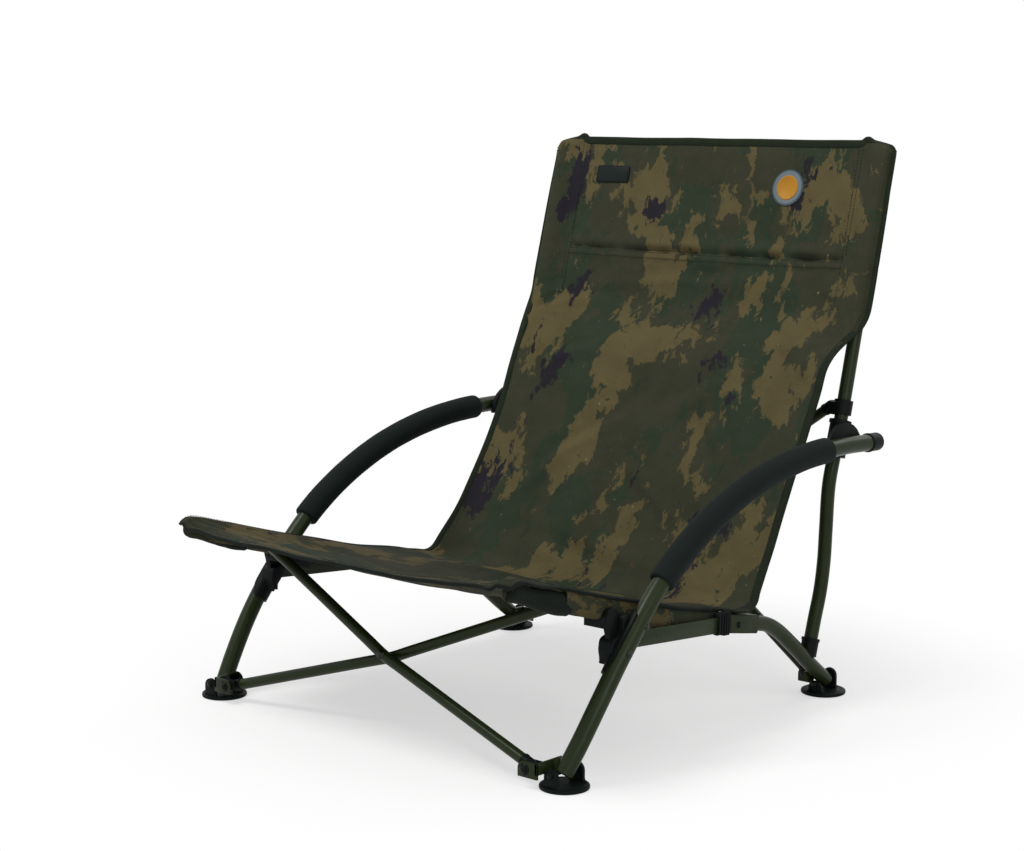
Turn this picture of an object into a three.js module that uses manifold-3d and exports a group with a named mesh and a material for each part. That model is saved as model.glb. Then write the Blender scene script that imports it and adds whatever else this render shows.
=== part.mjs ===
// A low folding fishing chair: two bent tube side frames, joined by a crossed pair
// of tubes in front and another at the back, with a cloth seat and back slung on
// hinged side rails and tall back posts. Millimetres, +Z up, the chair faces -Y.
// To fold, the sides slide together, the crossed tubes close like scissors and the
// seat rails swing up from their saddles about the knuckles on the rear legs.

import * as THREE from 'three';
import { mergeVertices } from 'three/addons/utils/BufferGeometryUtils.js';
import Module from 'manifold-3d';

const solids = await Module();
solids.setup();

// Overall sizes
const baseDepth = 541;
const backHeight = 720;
const armHalfWidth = 308;
const frameHalfWidth = 277;
const legToe = 12;

// Tubes, all round
const armTubeRadius = 11;
const railTubeRadius = 9.75;
const postTubeRadius = 9;
const crossTubeRadius = 7;

// Clearances
const seatGap = 0.35;
const ballGap = 0.4;
const cutOverrun = 5;
const fuse = 1;

// Side paths: [depth share, height share], and for the arm a third share of the toe
const armPathShares = [
  [-0.503, 0.022, 1], [-0.464, 0.0667, 0.55], [-0.405, 0.132, 0.15],
  [-0.338, 0.196, 0], [-0.209, 0.297, 0], [-0.098, 0.357, 0], [0.041, 0.408, 0],
  [0.181, 0.44, 0], [0.331, 0.458, 0], [0.481, 0.4625, 0], [0.606, 0.46, 0],
];
const rearLegPathShares = [
  [0.51, 0.0236], [0.4418, 0.0625], [0.3734, 0.1042], [0.3013, 0.1444],
  [0.257, 0.1604], [0.2015, 0.1694], [0.1405, 0.1785],
];
const railPathShares = [
  [0.0555, 0.1896], [-0.0869, 0.2097], [-0.2218, 0.2375], [-0.3457, 0.2653],
  [-0.5397, 0.3076], [-0.6285, 0.3271],
];
const postPathShares = [
  [0.4362, 0.0875], [0.458, 0.1417], [0.4806, 0.1944], [0.4935, 0.2472],
  [0.499, 0.3028], [0.508, 0.3847], [0.5305, 0.4444], [0.5551, 0.507],
  [0.6124, 0.6694], [0.6697, 0.8319], [0.725, 0.9891],
];
const kneeShare = [0.1054, 0.1833];

// Feet: a round disc, two ears and a pin along Y
const foot = {
  discRadius: 29.35, discThickness: 5, edgeRound: 1.6, earThickness: 4.6, earHalfWidth: 10,
  frontShare: -0.5, rearShare: 0.502,
  frontPinHeight: 20, rearPinHeight: 15,
  frontEarGap: [20, 20], rearEarGap: [15.8, 12.4],
  frontEarTop: [7, 7], rearEarTop: [4.2, 16],
  pinRadius: 2.6, pinHeadRadius: 4.4, pinHeadLength: 1.8,
};

// Crossed tubes and the plates that carry their ball ends
const cross = {
  ballRadius: 7.6, sideOffset: 8,
  frontHubX: 264, frontHubShares: [-0.5268, 0.0319],
  frontTopShares: [-0.414, 0.2847], frontKneeHeight: 101,
  rearHubShares: [0.5176, 0.0306],
  headRadius: 5, headLength: 2.4, bendShare: 0.06, steps: 12,
};
// Swivel eyes: each front tube is bolted to one, and it leans on its lug's web
const eye = { thickness: 4.5, halfWidth: 6.5, reachIn: 8, barrelRadius: 4, frontClear: 9.9 };
const lug = {
  plate: 3, halfWidth: 10.5, below: 10, above: 9, webReach: 5,
  frontWebX: 279.2, frontWebWall: 4.2, rearWebWall: 4.5, webDepth: 19,
};

// Knuckle, rail tongue, link bar and saddle
const knuckle = {
  rearLength: 51, frontLength: 20.5, halfHeight: 11.6, halfWidth: 12.5,
  headLength: 26, slotReach: 10.5, pinRadius: 3, pinHeadRadius: 5.2, pinHeadLength: 2,
  corner: 3,
};
const tongue = { halfThickness: 3.4, halfHeight: 7.4, overlap: 9 };
const bar = {
  frontShares: [-0.312, 0.211], rearShares: [0.0665, 0.19], halfHeight: 9.8, thickness: 4, endGap: 1.6,
  collarLength: 13, collarWall: 1.8, collarRib: 1.1,
};
const saddle = {
  fromShare: -0.3623, toShare: -0.2773, wallBelow: 11, innerLip: 4.4, lipRise: 9,
  bossRadius: 6.6, rivetShares: [[-0.281, 0.2361], [-0.3383, 0.1986]],
  lobeRadius: 10.5, lobeShares: [-0.3475, 0.2555],
  toeShares: [[-0.3605, 0.1806], [-0.334, 0.1778]],
  rivetRadius: 4.2, rivetHeight: 1.6,
};

// Arm fittings
const foam = { startLength: 261, length: 377, wall: 5.5 };
const armCap = { radius: 12.6, length: 24, cover: 13, round: 4 };
const armBracket = {
  centerHeight: 337, sleeveHalf: 24, sleeveWall: 4, flangeWall: 1.6, flangeLength: 4.5,
  plateHalfLength: 40, plateHeight: 38, plateDrop: 15, plateSetback: 1.8, plateForward: 9,
  padRadius: 6, padShares: [-0.55, 0.45],
};
const slider = { centerHeight: 376.5, halfLength: 9.5, wall: 3.2, bossHalfWidth: 13, bossDepth: 2.6 };
const ferrule = { radius: 11.2, length: 24, cover: 17 };

// Cloth
const cloth = {
  thickness: 3, halfWidth: 288, seatSag: 17, backSag: 14, foldDepth: 4.5, folds: 3, seamGap: 0.6, sagShare: 1.5,
  sleeveWall: 1.9, sleeveRearLength: 164, sleeveFrontLength: 290,
  pocketWall: 3.2, pocketGap: 0.9, pocketBeyond: 14, pocketRound: 3,
  backSleeveWidth: 16, backSleeveDepth: 13, backSleeveTail: 31.5, backSleeveTailHalf: 1.5,
  backSleeveFrom: 504, backSleeveOver: 3.5,
};
// Edge of the seat cloth, rear to front: depth, height, half width, sag and fold shares
const seatLineShares = [
  [0.104, 0.2052, 1, 0.7, 0.3], [0.037, 0.2165, 1, 0.85, 0.25], [-0.0869, 0.2347, 1, 1, 0.2],
  [-0.2292, 0.264, 1, 1, 0.1], [-0.3457, 0.2872, 1, 0.9, 0], [-0.46, 0.3125, 1, 0.7, 0],
  [-0.56, 0.3347, 1, 0.5, 0], [-0.645, 0.3539, 1, 0.4, 0],
];
// Edge of the back cloth, from the crease up: depth, height, half width, sag and fold shares
const backLineShares = [
  [0.1058, 0.2049, 1, 0.7, 0.3], [0.14, 0.1996, 1, 0.72, 0.4], [0.1747, 0.1955, 0.99, 0.75, 0.6],
  [0.1959, 0.2, 0.985, 0.8, 0.8], [0.2089, 0.2083, 0.983, 0.85, 1], [0.2218, 0.2222, 0.976, 0.9, 1],
  [0.2791, 0.2778, 0.955, 1, 0.9], [0.3364, 0.3472, 0.941, 1, 0.7], [0.39, 0.4167, 0.934, 1, 0.45],
  [0.438, 0.4861, 0.934, 1, 0.25], [0.4806, 0.5556, 0.941, 1, 0.15], [0.5065, 0.5972, 0.941, 1, 0.1],
  [0.5342, 0.625, 0.958, 0.95, 0], [0.5749, 0.6528, 0.995, 0.9, 0], [0.5896, 0.6618, 0.9, 0.85, 0],
  [0.6192, 0.6931, 0.895, 0.8, 0], [0.6222, 0.6985, 0.849, 0.8, 0], [0.6506, 0.7778, 0.849, 0.6, 0],
  [0.6799, 0.8611, 0.849, 0.4, 0], [0.7062, 0.9361, 0.849, 0.2, 0], [0.7288, 1, 0.849, 0.1, 0],
];
const patch = {
  labelWidth: 58, labelHeight: 25, labelAcrossShare: -0.735, labelUpShare: 0.944,
  badgeRadius: 25, badgeAcrossShare: 0.54, badgeUpShare: 0.931, thickness: 1.4, gap: 0.4,
};

// Faces of the round shapes
const tubeArc = 6;
const latheSteps = 16;
const ballSteps = 12;
const armSteps = 28;
const foamSteps = 16;
const postSteps = 22;
const legSteps = 14;
const railSteps = 16;
const clothColumns = 16;
const seatRows = 14;
const backRows = 20;
const sleeveSteps = 8;

const colours = {
  olive: 0x3a4430, black: 0x16181a, foam: 0x1b2023, darkGreen: 0x1f2b24,
  steel: 0x8c9086, camo: 0x37392a, badge: 0xa8823a, label: 0x202820,
};
const finishes = {
  painted: new THREE.MeshStandardMaterial({ color: colours.olive, roughness: 0.38, metalness: 0.35 }),
  plastic: new THREE.MeshStandardMaterial({ color: colours.black, roughness: 0.5, metalness: 0 }),
  socket: new THREE.MeshStandardMaterial({ color: colours.darkGreen, roughness: 0.55, metalness: 0 }),
  foam: new THREE.MeshStandardMaterial({ color: colours.foam, roughness: 0.95, metalness: 0 }),
  steel: new THREE.MeshStandardMaterial({ color: colours.steel, roughness: 0.35, metalness: 0.9 }),
  cloth: new THREE.MeshStandardMaterial({ color: colours.camo, roughness: 0.9, metalness: 0 }),
  badge: new THREE.MeshStandardMaterial({ color: colours.badge, roughness: 0.7, metalness: 0 }),
  label: new THREE.MeshStandardMaterial({ color: colours.label, roughness: 0.8, metalness: 0 }),
};

const chair = new THREE.Group();

function add(name, geometry, finish) {
  const mesh = new THREE.Mesh(geometry, finish);
  mesh.name = name;
  chair.add(mesh);
  return mesh;
}

// Places in the side view
function sidePoint(shares) {
  return new THREE.Vector2(shares[0] * baseDepth, shares[1] * backHeight);
}
function at(x, point) {
  return new THREE.Vector3(x, point.x, point.y);
}

function along(place, direction, distance) {
  return place.clone().addScaledVector(direction, distance);
}

// A closed geometry as a solid that can be cut and joined, and back again
function solidOf(geometry) {
  const bare = geometry.clone();
  bare.deleteAttribute('normal');
  bare.deleteAttribute('uv');
  const merged = mergeVertices(bare);
  return new solids.Manifold(new solids.Mesh({
    numProp: 3,
    vertProperties: new Float32Array(merged.attributes.position.array),
    triVerts: new Uint32Array(merged.index.array),
  }));
}
function geometryOf(solid) {
  const mesh = solid.getMesh();
  const geometry = new THREE.BufferGeometry();
  geometry.setAttribute('position', new THREE.BufferAttribute(new Float32Array(mesh.vertProperties), 3));
  geometry.setIndex(new THREE.BufferAttribute(new Uint32Array(mesh.triVerts), 1));
  geometry.computeVertexNormals();
  return geometry;
}

// Shapes swept along a path, turned about an axis, or cut from a plate
function roundSection(radius, bore) {
  const shape = new THREE.Shape();
  shape.absarc(0, 0, radius, 0, Math.PI * 2, false);
  if (bore) {
    const hole = new THREE.Path();
    hole.absarc(0, 0, bore, 0, Math.PI * 2, true);
    shape.holes.push(hole);
  }
  return shape;
}
function sweep(section, path, steps) {
  return new THREE.ExtrudeGeometry(section, {
    steps, curveSegments: tubeArc, bevelEnabled: false, extrudePath: path,
  });
}
function curveThrough(points) {
  return new THREE.CatmullRomCurve3(points, false, 'centripetal');
}
class Stretch extends THREE.Curve {
  constructor(path, from, to) {
    super();
    this.path = path;
    this.from = from;
    this.to = to;
  }

  getPoint(share, target = new THREE.Vector3()) {
    return target.copy(this.path.getPointAt(THREE.MathUtils.lerp(this.from, this.to, share)));
  }
}
function turned(profile, origin, direction) {
  const geometry = new THREE.LatheGeometry(profile, latheSteps);
  const turn = new THREE.Quaternion().setFromUnitVectors(new THREE.Vector3(0, 1, 0), direction);
  return geometry.applyQuaternion(turn).translate(origin.x, origin.y, origin.z);
}
function rod(radius, length, origin, direction) {
  const profile = [
    new THREE.Vector2(0, 0), new THREE.Vector2(radius, 0),
    new THREE.Vector2(radius, length), new THREE.Vector2(0, length),
  ];
  return turned(profile, origin, direction);
}
function block(low, high) {
  const size = new THREE.Vector3().subVectors(high, low);
  const middle = new THREE.Vector3().addVectors(low, high).multiplyScalar(0.5);
  return new THREE.BoxGeometry(size.x, size.y, size.z).translate(middle.x, middle.y, middle.z);
}
// A side-view outline with thickness from x = low to x = high
function sidePlate(shape, low, high) {
  const geometry = new THREE.ExtrudeGeometry(shape, {
    depth: high - low, curveSegments: tubeArc, bevelEnabled: false,
  });
  const basis = new THREE.Matrix4().makeBasis(
    new THREE.Vector3(0, 1, 0), new THREE.Vector3(0, 0, 1), new THREE.Vector3(1, 0, 0));
  return geometry.applyMatrix4(basis).translate(low, 0, 0);
}
// A bar with round ends between two side-view points
function roundBar(from, to, halfHeight) {
  const angle = Math.atan2(to.y - from.y, to.x - from.x);
  const shape = new THREE.Shape();
  shape.absarc(to.x, to.y, halfHeight, angle - Math.PI / 2, angle + Math.PI / 2, false);
  shape.absarc(from.x, from.y, halfHeight, angle + Math.PI / 2, angle + Math.PI * 1.5, false);
  return shape;
}
function polygon(points) {
  const shape = new THREE.Shape();
  shape.setFromPoints(points);
  return shape;
}
// Everything is shaped for the chair's left, +X, and mirrored for its right
function mirrored(geometry) {
  const flipped = geometry.index ? geometry.toNonIndexed() : geometry.clone();
  flipped.scale(-1, 1, 1);
  const place = flipped.attributes.position;
  for (let corner = 0; corner < place.count; corner += 3) {
    const second = new THREE.Vector3().fromBufferAttribute(place, corner + 1);
    const third = new THREE.Vector3().fromBufferAttribute(place, corner + 2);
    place.setXYZ(corner + 1, third.x, third.y, third.z);
    place.setXYZ(corner + 2, second.x, second.y, second.z);
  }
  flipped.deleteAttribute('normal');
  flipped.deleteAttribute('uv');
  return flipped;
}
function addPair(name, geometry, finish) {
  add(`${name}_left`, geometry, finish);
  add(`${name}_right`, mirrored(geometry), finish);
}

// The paths of the side frame's tubes
const armPath = curveThrough(armPathShares.map(
  (row) => at(armHalfWidth - legToe * row[2], sidePoint(row))));
const rearLegPath = curveThrough(rearLegPathShares.map((row) => at(frameHalfWidth, sidePoint(row))));
const railPath = curveThrough(railPathShares.map((row) => at(frameHalfWidth, sidePoint(row))));
const postPath = curveThrough(postPathShares.map((row) => at(frameHalfWidth, sidePoint(row))));
// Where a path reaches a height, as a share of its length
function shareAtHeight(path, height) {
  let low = 0;
  let high = 1;
  for (let step = 0; step < 40; step += 1) {
    const middle = (low + high) / 2;
    if (path.getPointAt(middle).z < height) low = middle;
    else high = middle;
  }
  return low;
}
function armShareAtDepth(depth) {
  let low = 0;
  let high = 1;
  for (let step = 0; step < 40; step += 1) {
    const middle = (low + high) / 2;
    if (armPath.getPointAt(middle).y < depth) low = middle;
    else high = middle;
  }
  return low;
}
const knee = sidePoint(kneeShare);

// Lugs: a plate in front of a cross tube's ball end, and a web back to the leg
function lugSolids(hub, front, webX, webWall, legX, legY) {
  const face = hub.y - front;
  const plate = block(
    new THREE.Vector3(hub.x - lug.halfWidth, face - lug.plate, hub.z - lug.below),
    new THREE.Vector3(webX + webWall, face, hub.z + lug.above));
  const web = block(
    new THREE.Vector3(webX, face - lug.plate, hub.z - lug.below / 2),
    new THREE.Vector3(webX + webWall, legY + lug.webDepth / 2, hub.z + lug.above));
  const tie = block(
    new THREE.Vector3(webX, legY - lug.webDepth / 2, hub.z - lug.below / 2),
    new THREE.Vector3(legX + lug.webReach, legY + lug.webDepth / 2, hub.z + lug.above));
  return [plate, web, tie].map(solidOf);
}

// Crossed tubes: where each pair's ends and crossing lie
const frontHub = sidePoint(cross.frontHubShares);
const frontTop = sidePoint(cross.frontTopShares);
const sleeveRadiusOut = railTubeRadius + seatGap + cloth.sleeveWall;
const frontTopX = frameHalfWidth - sleeveRadiusOut - ballGap - cross.ballRadius;
const rearHub = sidePoint(cross.rearHubShares);
const sliderShare = shareAtHeight(postPath, slider.centerHeight);
const sliderPlace = postPath.getPointAt(sliderShare);
const sliderInner = sliderPlace.x - postTubeRadius - seatGap - slider.wall - slider.bossDepth;
const rearTopX = sliderInner - ballGap - cross.ballRadius;

function addEye(label, side, place, normal) {
  const away = normal.clone().multiplyScalar(side);
  const up = new THREE.Vector3(1, 0, 0).cross(away).normalize();
  const tipX = lug.frontWebX - seatGap;
  const plate = new THREE.BoxGeometry(tipX - Math.abs(place.x) + eye.reachIn, eye.halfWidth * 2, eye.thickness)
    .translate((tipX - Math.abs(place.x) - eye.reachIn) / 2, 0, eye.thickness / 2);
  plate.applyMatrix4(new THREE.Matrix4().makeBasis(new THREE.Vector3(1, 0, 0), up.clone().negate(), away.clone()));
  const barrelFrom = Math.abs(place.x) + cross.ballRadius + ballGap * 2;
  const barrel = rod(eye.barrelRadius, tipX - barrelFrom, new THREE.Vector3(barrelFrom, 0, 0), new THREE.Vector3(1, 0, 0));
  plate.translate(Math.abs(place.x), 0, 0);
  const geometry = geometryOf(solidOf(plate).add(solidOf(barrel))).translate(0, place.y, place.z);
  add(`front_eye_${label}`, side > 0 ? geometry : mirrored(geometry), finishes.plastic);
}

function crossPair(name, hubX, hub, topX, top, kneeHeight) {
  const lean = Math.atan2(top.x - hub.x, top.y - hub.y);
  const normal = new THREE.Vector3(0, Math.cos(lean), -Math.sin(lean));
  const kneeShareUp = (kneeHeight - hub.y) / (top.y - hub.y);
  const middle = new THREE.Vector3(0, THREE.MathUtils.lerp(hub.x, top.x, kneeShareUp), kneeHeight);
  const ends = {};
  for (const side of [1, -1]) {
    const label = side > 0 ? 'left' : 'right';
    const offset = normal.clone().multiplyScalar(-side * cross.sideOffset);
    const low = at(side * hubX, hub).add(offset);
    const high = at(-side * topX, top).add(offset);
    const centre = middle.clone().add(offset);
    const reach = low.distanceTo(high) * cross.bendShare;
    const path = curveThrough([
      low, along(centre, new THREE.Vector3().subVectors(low, centre).normalize(), reach), centre,
      along(centre, new THREE.Vector3().subVectors(high, centre).normalize(), reach), high,
    ]);
    const balls = [low, high].map((place) => solidOf(
      new THREE.SphereGeometry(cross.ballRadius, ballSteps, ballSteps / 2).translate(place.x, place.y, place.z)));
    const solid = solidOf(sweep(roundSection(crossTubeRadius), path, cross.steps)).add(balls[0]).add(balls[1]);
    if (name === 'front') addEye(label, side, at(side * hubX, hub), normal);
    add(`${name}_cross_tube_${label}`, geometryOf(solid), finishes.painted);
    const outward = normal.clone().multiplyScalar(-side);
    const headPlace = centre.clone().addScaledVector(outward, crossTubeRadius + seatGap);
    add(`${name}_cross_rivet_${label}`, rod(cross.headRadius, cross.headLength, headPlace, outward), finishes.steel);
    ends[label] = { low, high };
  }
  return ends;
}
const frontEnds = crossPair('front', cross.frontHubX, frontHub, frontTopX, frontTop, cross.frontKneeHeight);
const rearKneeHeight = (rearHub.y + sliderPlace.z) / 2;
const rearEnds = crossPair(
  'rear', rearTopX, rearHub, rearTopX, new THREE.Vector2(sliderPlace.y, sliderPlace.z), rearKneeHeight);

const footPinAxis = new THREE.Vector3(0, 1, 0);
function footPinPlace(data, shift) {
  return new THREE.Vector3(data.x, data.depth + shift, data.pin);
}
function footPinHole(data) {
  const reach = foot.discRadius + cutOverrun;
  return solidOf(rod(foot.pinRadius + seatGap, reach * 2, footPinPlace(data, -reach), footPinAxis));
}
function footPin(data) {
  const low = -data.gaps[0] - foot.earThickness - seatGap - foot.pinHeadLength;
  const high = data.gaps[1] + foot.earThickness + seatGap + foot.pinHeadLength;
  const length = high - low;
  return turned([
    new THREE.Vector2(0, 0),
    new THREE.Vector2(foot.pinHeadRadius, 0),
    new THREE.Vector2(foot.pinHeadRadius, foot.pinHeadLength),
    new THREE.Vector2(foot.pinRadius, foot.pinHeadLength),
    new THREE.Vector2(foot.pinRadius, length - foot.pinHeadLength),
    new THREE.Vector2(foot.pinHeadRadius, length - foot.pinHeadLength),
    new THREE.Vector2(foot.pinHeadRadius, length),
    new THREE.Vector2(0, length),
  ], footPinPlace(data, low), footPinAxis);
}
const feet = {
  front: {
    x: armHalfWidth - legToe, depth: foot.frontShare * baseDepth, pin: foot.frontPinHeight,
    gaps: foot.frontEarGap, tops: foot.frontEarTop,
  },
  rear: {
    x: frameHalfWidth, depth: foot.rearShare * baseDepth, pin: foot.rearPinHeight,
    gaps: foot.rearEarGap, tops: foot.rearEarTop,
  },
};

// Arm tubes: front leg and arm in one, with the front lug welded on
const frontTubeClear = frontHub.x - frontEnds.left.low.y + cross.ballRadius + ballGap;
for (const [label, front] of Object.entries({ left: frontTubeClear, right: eye.frontClear })) {
  const legFoot = armPath.getPointAt(0);
  const parts = lugSolids(at(cross.frontHubX, frontHub), front, lug.frontWebX, lug.frontWebWall, legFoot.x - armTubeRadius, legFoot.y + lug.webReach);
  let solid = solidOf(sweep(roundSection(armTubeRadius), armPath, armSteps));
  for (const piece of parts) solid = solid.add(piece);
  solid = solid.subtract(footPinHole(feet.front));
  const geometry = geometryOf(solid);
  add(`arm_tube_${label}`, label === 'left' ? geometry : mirrored(geometry), finishes.painted);
}

// Foam grips on the arms
const armLength = armPath.getLength();
const foamPath = new Stretch(armPath, foam.startLength / armLength, (foam.startLength + foam.length) / armLength);
const foamSection = roundSection(armTubeRadius + foam.wall, armTubeRadius + seatGap);
addPair('arm_foam', sweep(foamSection, foamPath, foamSteps), finishes.foam);

// Push-on caps at the arms' ends
const armEnd = armPath.getPointAt(1);
const armEndDirection = armPath.getTangentAt(1);
const capProfile = [
  new THREE.Vector2(0, seatGap),
  new THREE.Vector2(armTubeRadius + seatGap, seatGap),
  new THREE.Vector2(armTubeRadius + seatGap, -armCap.cover),
  new THREE.Vector2(armCap.radius, -armCap.cover),
  new THREE.Vector2(armCap.radius, armCap.length - armCap.cover - armCap.round),
  new THREE.Vector2(armCap.radius - armCap.round * 0.3, armCap.length - armCap.cover - armCap.round * 0.3),
  new THREE.Vector2(armCap.radius - armCap.round, armCap.length - armCap.cover),
  new THREE.Vector2(0, armCap.length - armCap.cover),
];
addPair('arm_cap', turned(capProfile, armEnd, armEndDirection), finishes.plastic);

// Back posts, with a ferrule on the rear leg and a plug on top
const ferruleBase = postPath.getPointAt(0);
const ferruleDirection = postPath.getTangentAt(0);
const ferruleStart = ferrule.cover - ferrule.length;
const ferruleProfile = [
  new THREE.Vector2(0, ferruleStart),
  new THREE.Vector2(ferrule.radius, ferruleStart),
  new THREE.Vector2(ferrule.radius, ferrule.cover),
  new THREE.Vector2(postTubeRadius + seatGap, ferrule.cover),
  new THREE.Vector2(postTubeRadius + seatGap, -seatGap),
  new THREE.Vector2(0, -seatGap),
];
const legClear = sweep(roundSection(railTubeRadius + seatGap), rearLegPath, legSteps);
const postSolid = solidOf(sweep(roundSection(postTubeRadius), postPath, postSteps)).subtract(solidOf(legClear));
addPair('back_post', geometryOf(postSolid), finishes.painted);
const ferruleSolid = solidOf(turned(ferruleProfile, ferruleBase, ferruleDirection)).subtract(solidOf(legClear));
addPair('post_ferrule', geometryOf(ferruleSolid), finishes.plastic);

// Rear legs, with the rear lug welded on
const rearTubeClear = cross.ballRadius + ballGap;
for (const [label, hub] of Object.entries({ left: rearEnds.left.low, right: rearEnds.right.low })) {
  const place = new THREE.Vector3(Math.abs(hub.x), hub.y, hub.z);
  const webX = frameHalfWidth - railTubeRadius - lug.rearWebWall;
  const legY = hub.y - cross.ballRadius - lug.webDepth / 2;
  let solid = solidOf(sweep(roundSection(railTubeRadius), rearLegPath, legSteps));
  for (const piece of lugSolids(place, rearTubeClear, webX, lug.rearWebWall, webX, legY)) solid = solid.add(piece);
  solid = solid.subtract(footPinHole(feet.rear));
  const geometry = geometryOf(solid);
  add(`rear_leg_${label}`, label === 'left' ? geometry : mirrored(geometry), finishes.painted);
}

// Knuckles: a socket on the rear leg's end, slotted for the rail's tongue
const legEnd = rearLegPath.getPointAt(1);
const kneeDirection = new THREE.Vector2(legEnd.y - knee.x, legEnd.z - knee.y).normalize();
const knuckleOuter = frameHalfWidth + knuckle.halfWidth;
const barOuter = armHalfWidth - armTubeRadius - seatGap;
const barInner = barOuter - bar.thickness;
function kneeOutline(front, rear, halfHeight, corner) {
  const low = -front;
  const shape = new THREE.Shape();
  shape.moveTo(low + corner, -halfHeight);
  shape.lineTo(rear - corner, -halfHeight);
  shape.quadraticCurveTo(rear, -halfHeight, rear, corner - halfHeight);
  shape.lineTo(rear, halfHeight - corner);
  shape.quadraticCurveTo(rear, halfHeight, rear - corner, halfHeight);
  shape.lineTo(low + corner, halfHeight);
  shape.quadraticCurveTo(low, halfHeight, low, halfHeight - corner);
  shape.lineTo(low, corner - halfHeight);
  shape.quadraticCurveTo(low, -halfHeight, low + corner, -halfHeight);
  return shape;
}
function atKnee(geometry) {
  const angle = Math.atan2(kneeDirection.y, kneeDirection.x);
  return geometry.rotateX(angle).translate(0, knee.x, knee.y);
}
const socketBlock = atKnee(sidePlate(
  kneeOutline(knuckle.frontLength, knuckle.rearLength, knuckle.halfHeight, knuckle.corner),
  frameHalfWidth - knuckle.halfWidth, knuckleOuter));
const headBlock = atKnee(sidePlate(
  kneeOutline(knuckle.frontLength - fuse, knuckle.headLength, knuckle.halfHeight - fuse, knuckle.corner),
  knuckleOuter - fuse, barOuter));
const kneeSlot = atKnee(block(
  new THREE.Vector3(frameHalfWidth - tongue.halfThickness - seatGap, -knuckle.frontLength - cutOverrun,
    -knuckle.halfHeight - cutOverrun),
  new THREE.Vector3(frameHalfWidth + tongue.halfThickness + seatGap, knuckle.slotReach,
    knuckle.halfHeight + cutOverrun)));
const pinAxis = new THREE.Vector3(1, 0, 0);
const pinHole = rod(knuckle.pinRadius + seatGap, barOuter - frameHalfWidth + knuckle.halfWidth + cutOverrun * 2,
  at(frameHalfWidth - knuckle.halfWidth - cutOverrun, knee), pinAxis);
const knuckleSolid = solidOf(socketBlock).add(solidOf(headBlock)).subtract(solidOf(kneeSlot))
  .subtract(solidOf(legClear)).subtract(solidOf(pinHole));
addPair('knuckle', geometryOf(knuckleSolid), finishes.socket);
const pinLow = frameHalfWidth - knuckle.halfWidth - seatGap - knuckle.pinHeadLength;
const pinHigh = barOuter + seatGap + knuckle.pinHeadLength;
const pinProfile = [
  new THREE.Vector2(0, 0),
  new THREE.Vector2(knuckle.pinHeadRadius, 0),
  new THREE.Vector2(knuckle.pinHeadRadius, knuckle.pinHeadLength),
  new THREE.Vector2(knuckle.pinRadius, knuckle.pinHeadLength),
  new THREE.Vector2(knuckle.pinRadius, pinHigh - pinLow - knuckle.pinHeadLength),
  new THREE.Vector2(knuckle.pinHeadRadius, pinHigh - pinLow - knuckle.pinHeadLength),
  new THREE.Vector2(knuckle.pinHeadRadius, pinHigh - pinLow),
  new THREE.Vector2(0, pinHigh - pinLow),
];
addPair('knuckle_pin', turned(pinProfile, at(pinLow, knee), pinAxis), finishes.steel);

// Seat rails, with a flat tongue that turns on the knuckle's pin
const railStart = railPath.getPointAt(0);
const railBack = new THREE.Vector2(railStart.y, railStart.z);
const towardsRail = new THREE.Vector2().subVectors(railBack, knee).normalize();
const tongueShape = roundBar(railBack.clone().addScaledVector(towardsRail, tongue.overlap), knee, tongue.halfHeight);
const tonguePlate = sidePlate(tongueShape, frameHalfWidth - tongue.halfThickness, frameHalfWidth + tongue.halfThickness);
const railSolid = solidOf(sweep(roundSection(railTubeRadius), railPath, railSteps)).add(solidOf(tonguePlate))
  .subtract(solidOf(pinHole));
addPair('seat_rail', geometryOf(railSolid), finishes.painted);

// Link bars from the front legs to the knuckles, each with a ribbed collar
const barFront = sidePoint(bar.frontShares);
const barRear = sidePoint(bar.rearShares);
const barDirection = new THREE.Vector2().subVectors(barRear, barFront).normalize();
const kneeFace = knee.clone().addScaledVector(kneeDirection, -knuckle.frontLength + fuse - seatGap);
const barEnd = barFront.clone().addScaledVector(barDirection,
  (kneeFace.x - barFront.x) / barDirection.x - bar.endGap);
const barUp = new THREE.Vector2(-barDirection.y, barDirection.x);
function barOutline(fromPoint, toPoint, halfHeight) {
  return polygon([
    fromPoint.clone().addScaledVector(barUp, -halfHeight), toPoint.clone().addScaledVector(barUp, -halfHeight),
    toPoint.clone().addScaledVector(barUp, halfHeight), fromPoint.clone().addScaledVector(barUp, halfHeight),
  ]);
}
const barNose = roundBar(barFront, barFront.clone().addScaledVector(barDirection, bar.halfHeight), bar.halfHeight);
const barSolid = solidOf(sidePlate(barOutline(barFront, barEnd, bar.halfHeight), barInner, barOuter))
  .add(solidOf(sidePlate(barNose, barInner, barOuter)));
addPair('link_bar', geometryOf(barSolid), finishes.painted);
const collarStart = barEnd.clone().addScaledVector(barDirection, -bar.collarLength);
let collarSolid = solidOf(sidePlate(
  barOutline(collarStart, barEnd, bar.halfHeight + seatGap + bar.collarWall),
  barInner - seatGap - bar.collarWall, barOuter + seatGap + bar.collarWall));
const ribCount = 3;
for (let rib = 0; rib < ribCount; rib += 1) {
  const ribFrom = collarStart.clone().addScaledVector(barDirection, bar.collarLength * rib / ribCount);
  const ribTo = ribFrom.clone().addScaledVector(barDirection, bar.collarLength / ribCount / 2);
  collarSolid = collarSolid.add(solidOf(sidePlate(
    barOutline(ribFrom, ribTo, bar.halfHeight + seatGap + bar.collarWall + bar.collarRib),
    barInner - seatGap - bar.collarWall, barOuter + seatGap + bar.collarWall + bar.collarRib)));
}
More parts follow.
